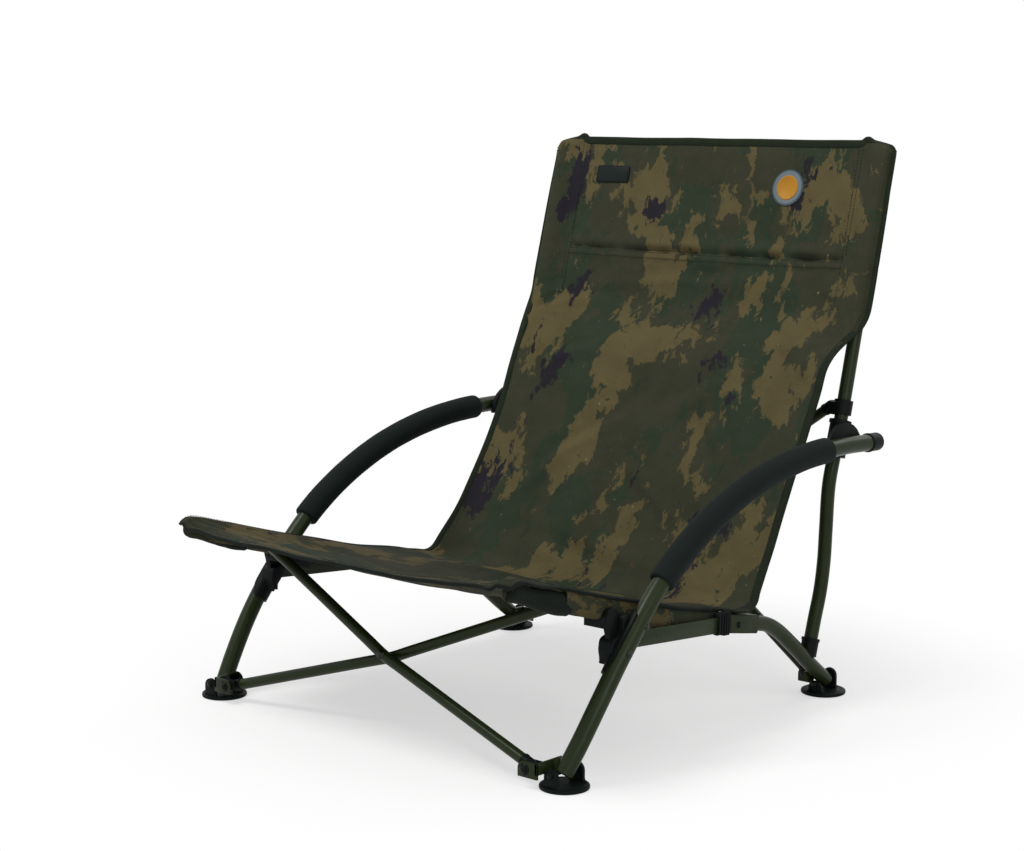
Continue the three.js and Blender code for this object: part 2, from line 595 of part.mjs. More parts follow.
collarSolid = collarSolid.subtract(solidOf(sidePlate(
  barOutline(collarStart.clone().addScaledVector(barDirection, -cutOverrun),
    barEnd.clone().addScaledVector(barDirection, cutOverrun), bar.halfHeight + seatGap),
  barInner - seatGap, barOuter + seatGap)));
addPair('bar_collar', geometryOf(collarSolid), finishes.plastic);

// Saddles on the front legs, where the seat rails lie when the chair is open
function railHeight(depth) {
  let low = 0;
  let high = 1;
  for (let step = 0; step < 40; step += 1) {
    const middle = (low + high) / 2;
    if (railPath.getPointAt(middle).y > depth) low = middle;
    else high = middle;
  }
  return railPath.getPointAt(low).z;
}
const saddleFront = saddle.fromShare * baseDepth;
const saddleRear = saddle.toShare * baseDepth;
const lipOuter = barOuter;
const saddleShape = polygon([
  new THREE.Vector2(saddleFront, railHeight(saddleFront) - sleeveRadiusOut - saddle.wallBelow),
  new THREE.Vector2(saddleRear, railHeight(saddleRear) - sleeveRadiusOut - saddle.wallBelow),
  new THREE.Vector2(saddleRear, railHeight(saddleRear) - sleeveRadiusOut + saddle.lipRise),
  new THREE.Vector2(saddleFront, railHeight(saddleFront) - sleeveRadiusOut + saddle.lipRise),
]);
const lobe = sidePoint(saddle.lobeShares);
const toes = saddle.toeShares.map(sidePoint);
const rivets = saddle.rivetShares.map(sidePoint);
const lobeShape = new THREE.Shape();
lobeShape.absarc(lobe.x, lobe.y, saddle.lobeRadius, 0, Math.PI, false);
lobeShape.lineTo(toes[0].x + saddle.bossRadius / 2, (lobe.y + toes[0].y) / 2);
lobeShape.lineTo(toes[0].x, toes[0].y);
lobeShape.lineTo(toes[1].x, toes[1].y);
const railCut = sweep(roundSection(railTubeRadius + seatGap), railPath, railSteps);
const cradleRadius = sleeveRadiusOut + seatGap;
const cradleCut = sweep(roundSection(cradleRadius), railPath, railSteps);
const liftCut = solidOf(cradleCut).add(solidOf(cradleCut.clone().translate(0, 0, saddle.lipRise)))
  .add(solidOf(cradleCut.clone().translate(0, 0, saddle.lipRise * 2)));
let saddleSolid = solidOf(sidePlate(
  saddleShape, frameHalfWidth - cradleRadius - saddle.innerLip, barInner - seatGap));
saddleSolid = saddleSolid.add(solidOf(sidePlate(lobeShape, frameHalfWidth + cradleRadius, lipOuter)));
const bossStart = barInner - seatGap - fuse;
const boss = rod(saddle.bossRadius, lipOuter - bossStart, at(bossStart, rivets[0]), pinAxis);
saddleSolid = saddleSolid.add(solidOf(boss)).subtract(liftCut);
addPair('saddle', geometryOf(saddleSolid), finishes.plastic);
for (const [place, level] of [[rivets[0], 'upper'], [rivets[1], 'lower']]) {
  const head = rod(saddle.rivetRadius, saddle.rivetHeight,
    at(armHalfWidth + armTubeRadius + seatGap, place), pinAxis);
  addPair(`leg_rivet_${level}`, head, finishes.steel);
}

// Arm brackets: a sleeve on the post, and a domed plate behind the arm
const bracketShare = shareAtHeight(postPath, armBracket.centerHeight);
const bracketPlace = postPath.getPointAt(bracketShare);
const bracketDirection = postPath.getTangentAt(bracketShare);
const sleeveRadius = postTubeRadius + seatGap + armBracket.sleeveWall;
const sleeveProfile = [
  new THREE.Vector2(0, -armBracket.sleeveHalf),
  new THREE.Vector2(sleeveRadius + armBracket.flangeWall, -armBracket.sleeveHalf),
  new THREE.Vector2(sleeveRadius + armBracket.flangeWall, armBracket.flangeLength - armBracket.sleeveHalf),
  new THREE.Vector2(sleeveRadius, armBracket.flangeLength - armBracket.sleeveHalf),
  new THREE.Vector2(sleeveRadius, armBracket.sleeveHalf - armBracket.flangeLength),
  new THREE.Vector2(sleeveRadius + armBracket.flangeWall, armBracket.sleeveHalf - armBracket.flangeLength),
  new THREE.Vector2(sleeveRadius + armBracket.flangeWall, armBracket.sleeveHalf),
  new THREE.Vector2(0, armBracket.sleeveHalf),
];
const plateMiddle = bracketPlace.y - armBracket.plateForward;
const plateShape = new THREE.Shape();
plateShape.moveTo(plateMiddle + armBracket.plateHalfLength, bracketPlace.z - armBracket.plateDrop);
plateShape.absellipse(plateMiddle, bracketPlace.z - armBracket.plateDrop,
  armBracket.plateHalfLength, armBracket.plateHeight, 0, Math.PI, false, 0);
plateShape.lineTo(plateMiddle + armBracket.plateHalfLength, bracketPlace.z - armBracket.plateDrop);
const postCut = solidOf(sweep(roundSection(postTubeRadius + seatGap), postPath, postSteps));
let bracketSolid = solidOf(turned(sleeveProfile, bracketPlace, bracketDirection))
  .add(solidOf(sidePlate(plateShape, frameHalfWidth + sleeveRadius - fuse, barOuter - armBracket.plateSetback)));
for (const share of armBracket.padShares) {
  const depth = plateMiddle + share * armBracket.plateHalfLength;
  const padHeight = armPath.getPointAt(armShareAtDepth(depth)).z;
  const start = barOuter - armBracket.plateSetback - fuse;
  bracketSolid = bracketSolid.add(solidOf(
    rod(armBracket.padRadius, barOuter - start, new THREE.Vector3(start, depth, padHeight), pinAxis)));
}
bracketSolid = bracketSolid.subtract(postCut);
addPair('arm_bracket', geometryOf(bracketSolid), finishes.plastic);

// Sliders that carry the rear cross tubes' tops up the posts
const sliderDirection = postPath.getTangentAt(sliderShare);
const sliderBody = rod(postTubeRadius + seatGap + slider.wall, slider.halfLength * 2,
  along(sliderPlace, sliderDirection, -slider.halfLength), sliderDirection);
const sliderBoss = block(
  new THREE.Vector3(sliderInner, sliderPlace.y - slider.bossHalfWidth, sliderPlace.z - slider.halfLength + fuse),
  new THREE.Vector3(sliderPlace.x, sliderPlace.y + slider.bossHalfWidth, sliderPlace.z + slider.halfLength - fuse));
addPair('post_slider', geometryOf(solidOf(sliderBody).add(solidOf(sliderBoss)).subtract(postCut)), finishes.plastic);

// Feet: disc and ears in one, and a pin through ears and tube end
function footSolid(x, depth, pinHeight, gaps, tops) {
  const round = foot.edgeRound;
  const discProfile = [
    new THREE.Vector2(0, 0),
    new THREE.Vector2(foot.discRadius - round, 0),
    new THREE.Vector2(foot.discRadius, round),
    new THREE.Vector2(foot.discRadius, foot.discThickness - round),
    new THREE.Vector2(foot.discRadius - round, foot.discThickness),
    new THREE.Vector2(0, foot.discThickness),
  ];
  let solid = solidOf(turned(discProfile, new THREE.Vector3(x, depth, 0), new THREE.Vector3(0, 0, 1)));
  [-1, 1].forEach((way, index) => {
    const shape = new THREE.Shape();
    const top = pinHeight + tops[index] - foot.earHalfWidth;
    shape.moveTo(-foot.earHalfWidth, foot.discThickness - round);
    shape.lineTo(foot.earHalfWidth, foot.discThickness - round);
    shape.lineTo(foot.earHalfWidth, top);
    shape.absarc(0, top, foot.earHalfWidth, 0, Math.PI, false);
    const ear = new THREE.ExtrudeGeometry(shape, {
      depth: foot.earThickness, curveSegments: tubeArc, bevelEnabled: false,
    });
    const inner = depth + way * gaps[index];
    const start = way > 0 ? inner + foot.earThickness : inner;
    ear.rotateX(Math.PI / 2).translate(x, start, 0);
    solid = solid.add(solidOf(ear));
  });
  return solid;
}
for (const [end, data] of Object.entries(feet)) {
  const solid = footSolid(data.x, data.depth, data.pin, data.gaps, data.tops).subtract(footPinHole(data));
  addPair(`${end}_foot`, geometryOf(solid), finishes.socket);
  addPair(`${end}_foot_pin`, footPin(data), finishes.steel);
}

// Cloth: a closed sheet of even thickness over a surface given by two shares, from 0 to 1
function sheet(surface, columns, rows, thickness) {
  const step = 0.002;
  const corners = [];
  for (const way of [1, -1]) {
    for (let row = 0; row <= rows; row += 1) {
      for (let column = 0; column <= columns; column += 1) {
        const across = column / columns;
        const up = row / rows;
        const place = surface(across, up);
        const normal = surfaceNormal(surface, across, up, step);
        place.addScaledVector(normal, way * thickness / 2);
        corners.push(place.x, place.y, place.z);
      }
    }
  }
  const wide = columns + 1;
  const back = wide * (rows + 1);
  const faces = [];
  for (let row = 0; row < rows; row += 1) {
    for (let column = 0; column < columns; column += 1) {
      const corner = row * wide + column;
      faces.push(corner, corner + wide, corner + 1, corner + 1, corner + wide, corner + wide + 1);
      const other = back + corner;
      faces.push(other, other + 1, other + wide, other + 1, other + wide + 1, other + wide);
    }
  }
  const wall = (from, to) => faces.push(from, to, back + from, back + from, to, back + to);
  for (let column = 0; column < columns; column += 1) {
    wall(column, column + 1);
    wall(rows * wide + column + 1, rows * wide + column);
  }
  for (let row = 0; row < rows; row += 1) {
    wall((row + 1) * wide, row * wide);
    wall(row * wide + columns, (row + 1) * wide + columns);
  }
  const geometry = new THREE.BufferGeometry();
  geometry.setAttribute('position', new THREE.Float32BufferAttribute(corners, 3));
  geometry.setIndex(faces);
  geometry.computeVertexNormals();
  return geometry;
}
function surfaceNormal(surface, across, up, step) {
  const left = surface(Math.max(0, across - step), up);
  const right = surface(Math.min(1, across + step), up);
  const low = surface(across, Math.max(0, up - step));
  const high = surface(across, Math.min(1, up + step));
  return high.sub(low).cross(right.sub(left)).normalize();
}
// A cloth surface between its two edges, sagging and folded between them
function clothSurface(table, sag) {
  const edge = curveThrough(table.map((row) => at(cloth.halfWidth * row[2], sidePoint(row))));
  const depths = curveThrough(table.map((row) => new THREE.Vector3(row[3], row[4], 0)));
  return (across, up) => {
    const place = edge.getPoint(up);
    const tangent = edge.getTangent(up);
    const span = across * 2 - 1;
    const share = depths.getPoint(up);
    const drop = sag * share.x * (1 - span * span) ** cloth.sagShare
      + cloth.foldDepth * share.y * (1 - span ** 4) * Math.cos(Math.PI * cloth.folds * span);
    const length = Math.hypot(tangent.y, tangent.z);
    const lean = new THREE.Vector3(0, tangent.z / length, -tangent.y / length);
    return new THREE.Vector3(place.x * span, place.y, place.z).addScaledVector(lean, drop);
  };
}
// The seat's line runs rear to front, so it is read from its front end
const seatSurface = clothSurface(seatLineShares.slice().reverse(), cloth.seatSag);
const backSurface = clothSurface(backLineShares, cloth.backSag);
add('seat_cloth', sheet(seatSurface, clothColumns, seatRows, cloth.thickness), finishes.cloth);
add('back_cloth', sheet(backSurface, clothColumns, backRows, cloth.thickness), finishes.cloth);

// Sleeves and closed corner pockets round the seat rails
const railLength = railPath.getLength();
const sleevePath = new Stretch(railPath, cloth.sleeveRearLength / railLength, cloth.sleeveFrontLength / railLength);
addPair('seat_sleeve', sweep(roundSection(sleeveRadiusOut, railTubeRadius + seatGap), sleevePath, sleeveSteps),
  finishes.cloth);
const railEnd = railPath.getPointAt(1);
const pocketStart = railPath.getPointAt((cloth.sleeveFrontLength + cloth.seamGap) / railLength);
const pocketDirection = new THREE.Vector3().subVectors(railEnd, pocketStart).normalize();
const pocketLength = pocketStart.distanceTo(railEnd) + cloth.pocketBeyond;
const pocketRadius = railTubeRadius + seatGap + cloth.pocketWall;
const pocketProfile = [
  new THREE.Vector2(0, 0), new THREE.Vector2(pocketRadius, 0),
  new THREE.Vector2(pocketRadius, pocketLength - cloth.pocketRound * 2),
  new THREE.Vector2(pocketRadius - cloth.pocketRound, pocketLength - cloth.pocketRound / 2),
  new THREE.Vector2(pocketRadius - cloth.pocketRound * 2, pocketLength), new THREE.Vector2(0, pocketLength),
];
const pocketBore = rod(railTubeRadius + cloth.pocketGap,
  pocketStart.distanceTo(railEnd) + cloth.pocketGap + cutOverrun,
  along(pocketStart, pocketDirection, -cutOverrun), pocketDirection);
const pocketSolid = solidOf(turned(pocketProfile, pocketStart, pocketDirection)).subtract(solidOf(pocketBore));
addPair('seat_pocket', geometryOf(pocketSolid), finishes.label);

// Sleeves of the back cloth, closed over the tops of the posts
const backSleeveStart = postPath.getPointAt(shareAtHeight(postPath, cloth.backSleeveFrom));
const postEnd = postPath.getPointAt(1);
const postDirection = new THREE.Vector3().subVectors(postEnd, backSleeveStart).normalize();
const backSleeveShape = new THREE.Shape();
backSleeveShape.moveTo(-cloth.backSleeveTail, -cloth.backSleeveTailHalf);
const sleeveOpen = Math.PI * 0.62;
backSleeveShape.absellipse(0, 0, cloth.backSleeveWidth, cloth.backSleeveDepth, -sleeveOpen, sleeveOpen, false, 0);
backSleeveShape.lineTo(-cloth.backSleeveTail, cloth.backSleeveTailHalf);
const backSleeveBody = new THREE.ExtrudeGeometry(backSleeveShape, {
  depth: backSleeveStart.distanceTo(postEnd) + cloth.backSleeveOver, curveSegments: tubeArc, bevelEnabled: false,
});
backSleeveBody.applyMatrix4(new THREE.Matrix4().makeBasis(
  new THREE.Vector3(1, 0, 0), new THREE.Vector3(0, postDirection.z, -postDirection.y), postDirection));
backSleeveBody.translate(backSleeveStart.x, backSleeveStart.y, backSleeveStart.z);
const backSleeveBore = rod(postTubeRadius + seatGap,
  backSleeveStart.distanceTo(postEnd) + cutOverrun + seatGap * 2,
  along(backSleeveStart, postDirection, -cutOverrun), postDirection);
addPair('back_sleeve', geometryOf(solidOf(backSleeveBody).subtract(solidOf(backSleeveBore))), finishes.cloth);

// Two blank patches on the front of the back cloth
function clothPlace(acrossShare, upShare) {
  const across = (acrossShare + 1) / 2;
  const normal = surfaceNormal(backSurface, across, upShare, 0.004);
  const place = backSurface(across, upShare).addScaledVector(normal, cloth.thickness / 2 + patch.gap);
  return { place, normal };
}
const labelSeat = clothPlace(patch.labelAcrossShare, patch.labelUpShare);
const labelBody = new THREE.BoxGeometry(patch.labelWidth, patch.labelHeight, patch.thickness)
  .translate(0, 0, patch.thickness / 2);
const labelUp = new THREE.Vector3(0, -labelSeat.normal.z, labelSeat.normal.y).multiplyScalar(-1).normalize();
const labelAcross = new THREE.Vector3().crossVectors(labelUp, labelSeat.normal).normalize();
labelUp.crossVectors(labelSeat.normal, labelAcross).normalize();
labelBody.applyMatrix4(new THREE.Matrix4().makeBasis(labelAcross, labelUp, labelSeat.normal));
labelBody.translate(labelSeat.place.x, labelSeat.place.y, labelSeat.place.z);
add('label_patch', labelBody, finishes.label);
const badgeSeat = clothPlace(patch.badgeAcrossShare, patch.badgeUpShare);
add('round_patch', rod(patch.badgeRadius, patch.thickness, badgeSeat.place, badgeSeat.normal), finishes.badge);

// The origin lies under the middle of the whole chair, on the ground
chair.updateMatrixWorld(true);
const bounds = new THREE.Box3().setFromObject(chair, true);
const middleOfAll = bounds.getCenter(new THREE.Vector3());
chair.position.set(-middleOfAll.x, -middleOfAll.y, -bounds.min.z);
chair.updateMatrixWorld(true);
export default chair;
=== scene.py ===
"""The looks of a low folding chair: steel tubes, moulded fittings, foam grips and camouflage cloth."""

import logging
import math
from collections.abc import Iterable, Sequence
from dataclasses import dataclass, field
from enum import Enum

import bmesh
import bpy
import numpy as np
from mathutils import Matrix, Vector, noise


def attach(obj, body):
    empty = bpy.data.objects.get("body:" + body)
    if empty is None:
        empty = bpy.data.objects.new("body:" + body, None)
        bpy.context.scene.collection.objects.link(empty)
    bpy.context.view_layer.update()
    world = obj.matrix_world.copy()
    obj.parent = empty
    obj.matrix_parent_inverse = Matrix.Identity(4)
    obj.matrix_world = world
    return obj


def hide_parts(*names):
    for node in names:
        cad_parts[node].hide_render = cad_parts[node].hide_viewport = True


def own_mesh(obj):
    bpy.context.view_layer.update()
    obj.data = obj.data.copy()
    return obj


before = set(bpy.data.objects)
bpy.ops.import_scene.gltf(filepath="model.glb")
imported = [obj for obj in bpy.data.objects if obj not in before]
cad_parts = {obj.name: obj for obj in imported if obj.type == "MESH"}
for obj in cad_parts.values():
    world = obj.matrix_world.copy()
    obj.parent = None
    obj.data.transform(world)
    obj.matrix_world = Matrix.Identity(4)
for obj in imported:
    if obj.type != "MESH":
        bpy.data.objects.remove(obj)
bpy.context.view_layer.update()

LOG = logging.getLogger("chair")
MM = 0.001

# Sizes shared with the solid model, in millimetres
BASE_DEPTH = 541.0
BACK_HEIGHT = 720.0
ARM_HALF_WIDTH = 308.0
FRAME_HALF_WIDTH = 277.0
LEG_TOE = 12.0
ORIGIN_SHIFT = -25.085
ARM_RADIUS = 11.0
RAIL_RADIUS = 9.75
POST_RADIUS = 9.0
CROSS_RADIUS = 7.0
BALL_RADIUS = 7.6
GAP = 0.35
CLOTH_HALF_WIDTH = 288.0

# The last stretch of a cloth's edge, which is sampled ever finer, and the rows that it takes
TOP_ROUND = 15.0
TOP_ROWS = 12
# Where the chair's middle lies on the flat print, in metres
FLAT_MIDDLE = 0.3
# Where the seat's cloth starts on the flat print, in metres
SEAT_CUT_FROM = 1.62
# Most of a noise texture's values lie between these two
NOISE_LOW, NOISE_HIGH = 0.3, 0.7
# Heights on the back between which its cloth comes round to the posts, grows taut there, and its tape slim
WRAP_RISE = (440.0, 470.0)
TAUT_RISE = (470.0, 505.0)
SLIM_RISE = (485.0, 510.0)
# Heights on the back where its side folds meet, where the sleeves start and where their seams do
FAN_HEIGHT = 466.0
SLEEVE_START = 497.0
SLEEVE_SEAM_START = 512.0
# How the seat's front lip comes down: by how much, and between which distances from the chair's middle
LIP_STEPS = ((5.0, 90, 170), (5.0, 235, 264), (-2.5, 279, 290))
# A patch's place on the back: across as a share of the half width there, and its height
LABEL_PLACE = (-180.0 / 293.5, 668.0)
BADGE_PLACE = (132.0 / 294.0, 656.0)
# The label's rim and face: half width, half height, corner, and the heights of bottom and top over the cloth
LABEL_RIM_SIZE = (29, 12.5, 3, 0.6, 2.3)
LABEL_FACE_SIZE = (26.6, 10.1, 2, 2.0, 2.7)
# How far stitches lie inside the tape's inner edge
STITCH_INSET = 1.6
# Places across a panel's free end, closer together towards its corners
END_SPANS = np.sin(np.linspace(math.pi / 2, -math.pi / 2, 190))[1:-1]
# A point on the link bar's middle line, at its collar, and how the bar slopes
BAR_MIDDLE = (294.65, 0.0, 139.4)
BAR_SLOPE = -0.057

# Depth and height shares of each tube's line, seen from the side; the arm's third share is its toe
ARM_LINE = (
    (-0.503, 0.022, 1), (-0.464, 0.0667, 0.55), (-0.405, 0.132, 0.15), (-0.338, 0.196, 0),
    (-0.209, 0.297, 0), (-0.098, 0.357, 0), (0.041, 0.408, 0), (0.181, 0.44, 0),
    (0.331, 0.458, 0), (0.481, 0.4625, 0), (0.606, 0.46, 0),
)
REAR_LEG_LINE = (
    (0.51, 0.0236), (0.4418, 0.0625), (0.3734, 0.1042), (0.3013, 0.1444),
    (0.257, 0.1604), (0.2015, 0.1694), (0.1405, 0.1785),
)
RAIL_LINE = (
    (0.0555, 0.1896), (-0.0869, 0.2097), (-0.2218, 0.2375), (-0.3457, 0.2653),
    (-0.5397, 0.3076), (-0.6285, 0.3271),
)
POST_LINE = (
    (0.4362, 0.0875), (0.458, 0.1417), (0.4806, 0.1944), (0.4935, 0.2472), (0.499, 0.3028),
    (0.508, 0.3847), (0.5305, 0.4444), (0.5551, 0.507), (0.6124, 0.6694), (0.6697, 0.8319),
    (0.725, 0.9891),
)
KNEE = (0.1054, 0.1833)

# Edge of the seat cloth, front to rear: depth, height, half width, sag and fold shares
SEAT_LINE = (
    (-0.653, 0.3557, 0.994, 1.3, 0), (-0.56, 0.3347, 1.006, 1.45, 0), (-0.46, 0.3125, 1, 1.6, 0),
    (-0.3457, 0.2872, 1, 1.7, 0), (-0.2292, 0.264, 1, 1.65, 0.1), (-0.0869, 0.2347, 1, 1.3, 0.2),
    (0.037, 0.2165, 1, 0.85, 0.25), (0.107, 0.2046, 1, 0.5765, 0.3),
)
# Edge of the back panel, from the crease up; above the arms it widens until it wraps round the posts
BACK_LINE = (
    (0.1058, 0.2049, 1, 0.7, 0.3), (0.14, 0.1996, 1, 0.72, 0.4), (0.1747, 0.1955, 0.99, 0.75, 0.6),
    (0.1959, 0.2, 0.985, 0.8, 0.8), (0.2089, 0.2083, 0.983, 0.85, 1), (0.2218, 0.2222, 0.976, 0.9, 1),
    (0.2791, 0.2778, 0.955, 1, 0.9), (0.3364, 0.3472, 0.941, 1, 0.7), (0.39, 0.4167, 0.934, 1, 0.45),
    (0.438, 0.4861, 0.934, 1, 0.25), (0.4806, 0.5556, 0.941, 1, 0.15), (0.5065, 0.5972, 0.941, 1, 0.1),
    (0.5342, 0.625, 0.958, 0.95, 0), (0.5749, 0.6528, 0.996, 0.9, 0), (0.5896, 0.6618, 1.01, 0.85, 0),
    (0.6192, 0.6931, 1.024, 0.8, 0), (0.6322, 0.7285, 1.027, 0.8, 0), (0.6506, 0.7778, 1.026, 0.6, 0),
    (0.6799, 0.8611, 1.024, 0.4, 0), (0.7062, 0.9361, 1.019, 0.2, 0), (0.7288, 1, 1.012, 0.1, 0),
)
# Single creases of the back cloth: middle across and along, lean in degrees, length, width and depth
BACK_CREASES = (
    (-105, 255, 36, 75, 9, 2.6), (-150, 205, 48, 60, 8, 2.0), (40, 180, 150, 80, 10, 2.2),
    (120, 262, 128, 70, 9, 2.4), (-200, 372, 20, 60, 8, 2.0), (-60, 430, 165, 90, 10, 2.0),
    (150, 452, 20, 70, 9, 2.2), (205, 395, 145, 60, 8, 2.4), (60, 338, 30, 80, 12, 1.8),
    (-20, 95, 170, 110, 11, 2.2), (-215, 470, 8, 50, 7, 1.8), (10, 515, 4, 120, 8, 1.6),
)
# How far the cloth stands off the post's plane at each distance from the chair's middle
SLEEVE_BULGE = (
    (238, 0), (246, 1.2), (256, 5.4), (265, 9.8), (272, 11.7), (278, 12.0),
    (283, 10.6), (286.2, 7.2), (288.2, 3.6), (290.2, 1.3), (294, 0.8), (300, 0.8),
)
# Outline of the cloth round a seat rail, outwards and up from the rail's middle
RAIL_WRAP = (
    (6.5, 15.2), (10.4, 10.8), (12.0, 3.0), (11.0, -5.2), (6.6, -10.5), (0.0, -12.5),
    (-6.6, -10.7), (-11.2, -5.4), (-12.5, 2.5), (-12.9, 9.0), (-14.0, 15.2),
)


def to_linear(colour: str) -> tuple[float, float, float, float]:
    """An sRGB hex colour as the linear values that the nodes take.

    Args:
        colour: six hex digits after a hash mark.

    Returns:
        Linear red, green, blue and a full alpha.
    """
    shares = [int(colour[i:i + 2], 16) / 255 for i in (1, 3, 5)]
    red, green, blue = (s / 12.92 if s <= 0.04045 else ((s + 0.055) / 1.055) ** 2.4 for s in shares)
    return red, green, blue, 1.0


def put(tree: bpy.types.NodeTree, kind: str, inputs: dict | None = None,
        **settings: object) -> bpy.types.Node:
    """Adds one node with its settings, values and links.

    Args:
        tree: the node tree that gets it.
        kind: the node's type name.
        inputs: a value or another node's output for each named or numbered input.
        settings: properties of the node.

    Returns:
        The new node.
    """
    made = tree.nodes.new(kind)
    for name, value in settings.items():
        setattr(made, name, value)
    for key, value in (inputs or {}).items():
        if isinstance(value, bpy.types.NodeSocket):
            tree.links.new(value, made.inputs[key])
        else:
            made.inputs[key].default_value = value
    return made


def reckon(tree: bpy.types.NodeTree, operation: str, *values: bpy.types.NodeSocket | float,
           **settings: object) -> bpy.types.NodeSocket:
    """The result of one sum in a node tree."""
    return put(tree, "ShaderNodeMath", dict(enumerate(values)), operation=operation, **settings).outputs[0]


def surface(name: str) -> tuple[bpy.types.Material, bpy.types.NodeTree, bpy.types.Node]:
    """A new material with its tree and its shader."""
    made = bpy.data.materials.new(name)
    made.use_nodes = True
    return made, made.node_tree, made.node_tree.nodes["Principled BSDF"]


def settle(shader: bpy.types.Node, **values: float) -> None:
    """Sets inputs of a shader, named with _ for a space."""
    for name, value in values.items():
        shader.inputs[name.replace("_", " ")].default_value = value


def spread(tree: bpy.types.NodeTree, noise_value: bpy.types.NodeSocket, low: float,
           high: float) -> bpy.types.NodeSocket:
    """A noise texture's value, stretched to lie between two numbers."""
    return put(tree, "ShaderNodeMapRange", {
        "Value": noise_value, "From Min": NOISE_LOW, "From Max": NOISE_HIGH,
        "To Min": low, "To Max": high}).outputs["Result"]


def threads(tree: bpy.types.NodeTree, place: bpy.types.NodeSocket, pitch: float, distortion: float,
            directions: Sequence[str]) -> list[bpy.types.NodeSocket]:
    """Fine bands across a cloth, one set for each direction.

    Args:
        tree: the material's node tree.
        place: where on the cloth a point lies.
        pitch: spacing of the bands, in millimetres.
        distortion: how uneven they are.
        directions: the wave texture's words for their directions.

    Returns:
        A socket for each direction.
    """
    return [
        put(tree, "ShaderNodeTexWave", {
            "Vector": place, "Scale": 1 / (pitch * MM) / 20 * 3.2, "Distortion": distortion},
            bands_direction=direction).outputs["Fac"] for direction in directions
    ]


def direct_rays(tree: bpy.types.NodeTree) -> bpy.types.NodeSocket:
    """1 for what the camera sees itself, in a shine or through glass, and 0 for all other light."""
    rays = put(tree, "ShaderNodeLightPath").outputs
    seen = reckon(tree, "ADD", rays["Is Camera Ray"], rays["Is Glossy Ray"])
    return reckon(tree, "ADD", seen, rays["Is Transmission Ray"], use_clamp=True)


def ramp(value: np.ndarray | float, low: float, high: float) -> np.ndarray:
    """Rises smoothly from 0 at low to 1 at high."""
    share = np.clip((np.asarray(value, float) - low) / (high - low), 0, 1)
    return share * share * (3 - 2 * share)


def unit(vector: np.ndarray) -> np.ndarray:
    """Vectors along the last axis, brought to length 1."""
    return vector / np.maximum(np.linalg.norm(vector, axis=-1, keepdims=True), 1e-12)


def side_point(shares: Sequence[float], x: float = 0.0) -> np.ndarray:
    """The point of a depth and a height share at x, in millimetres."""
    return np.array([x, shares[0] * BASE_DEPTH + ORIGIN_SHIFT, shares[1] * BACK_HEIGHT])


def eased_steps(start: float, bend: float, stretch: float, even: int, fine: int) -> np.ndarray:
    """Distances that lie evenly up to a bend, and ever closer over the stretch beyond it."""
    return np.concatenate([
        np.linspace(start, bend, even),
        bend + stretch * np.sin(np.linspace(0, math.pi / 2, fine))[1:]])


class Side(Enum):
    """The chair's own left, which is +X, and its right."""

    LEFT = 1
    RIGHT = -1

    @property
    def label(self) -> str:
        """The side's word in names."""
        return self.name.lower()


@dataclass
class Shape:
    """Corners in millimetres and the faces between them.

    Attributes:
        points: one row for each corner.
        faces: the corners of each face, in order round it.
        flat: each corner's place on the flat cloth in metres, where a pattern follows it.
    """

    points: np.ndarray
    faces: list[tuple[int, ...]]
    flat: np.ndarray | None = None

    def plus(self, *others: "Shape") -> "Shape":
        """This shape and others as one."""
        points, faces = list(self.points), list(self.faces)
        flat = None if self.flat is None else list(self.flat)
        for other in others:
            start = len(points)
            points.extend(other.points)
            faces.extend(tuple(c + start for c in f) for f in other.faces)
            if flat is not None and other.flat is not None:
                flat.extend(other.flat)
        return Shape(np.array(points), faces, None if flat is None else np.array(flat))

    def on(self, side: Side) -> "Shape":
        """The shape itself for the left, or its mirror image for the right."""
        if side is Side.LEFT:
            return self
        flat = None if self.flat is None else self.flat * np.array([-1, 1]) + np.array([0.6, 0])
        return Shape(self.points * np.array([-1.0, 1, 1]), [tuple(reversed(f)) for f in self.faces], flat)

    def facing_front(self) -> "Shape":
        """The shape with its width and depth exchanged."""
        return Shape(self.points[:, [1, 0, 2]], [tuple(reversed(f)) for f in self.faces])


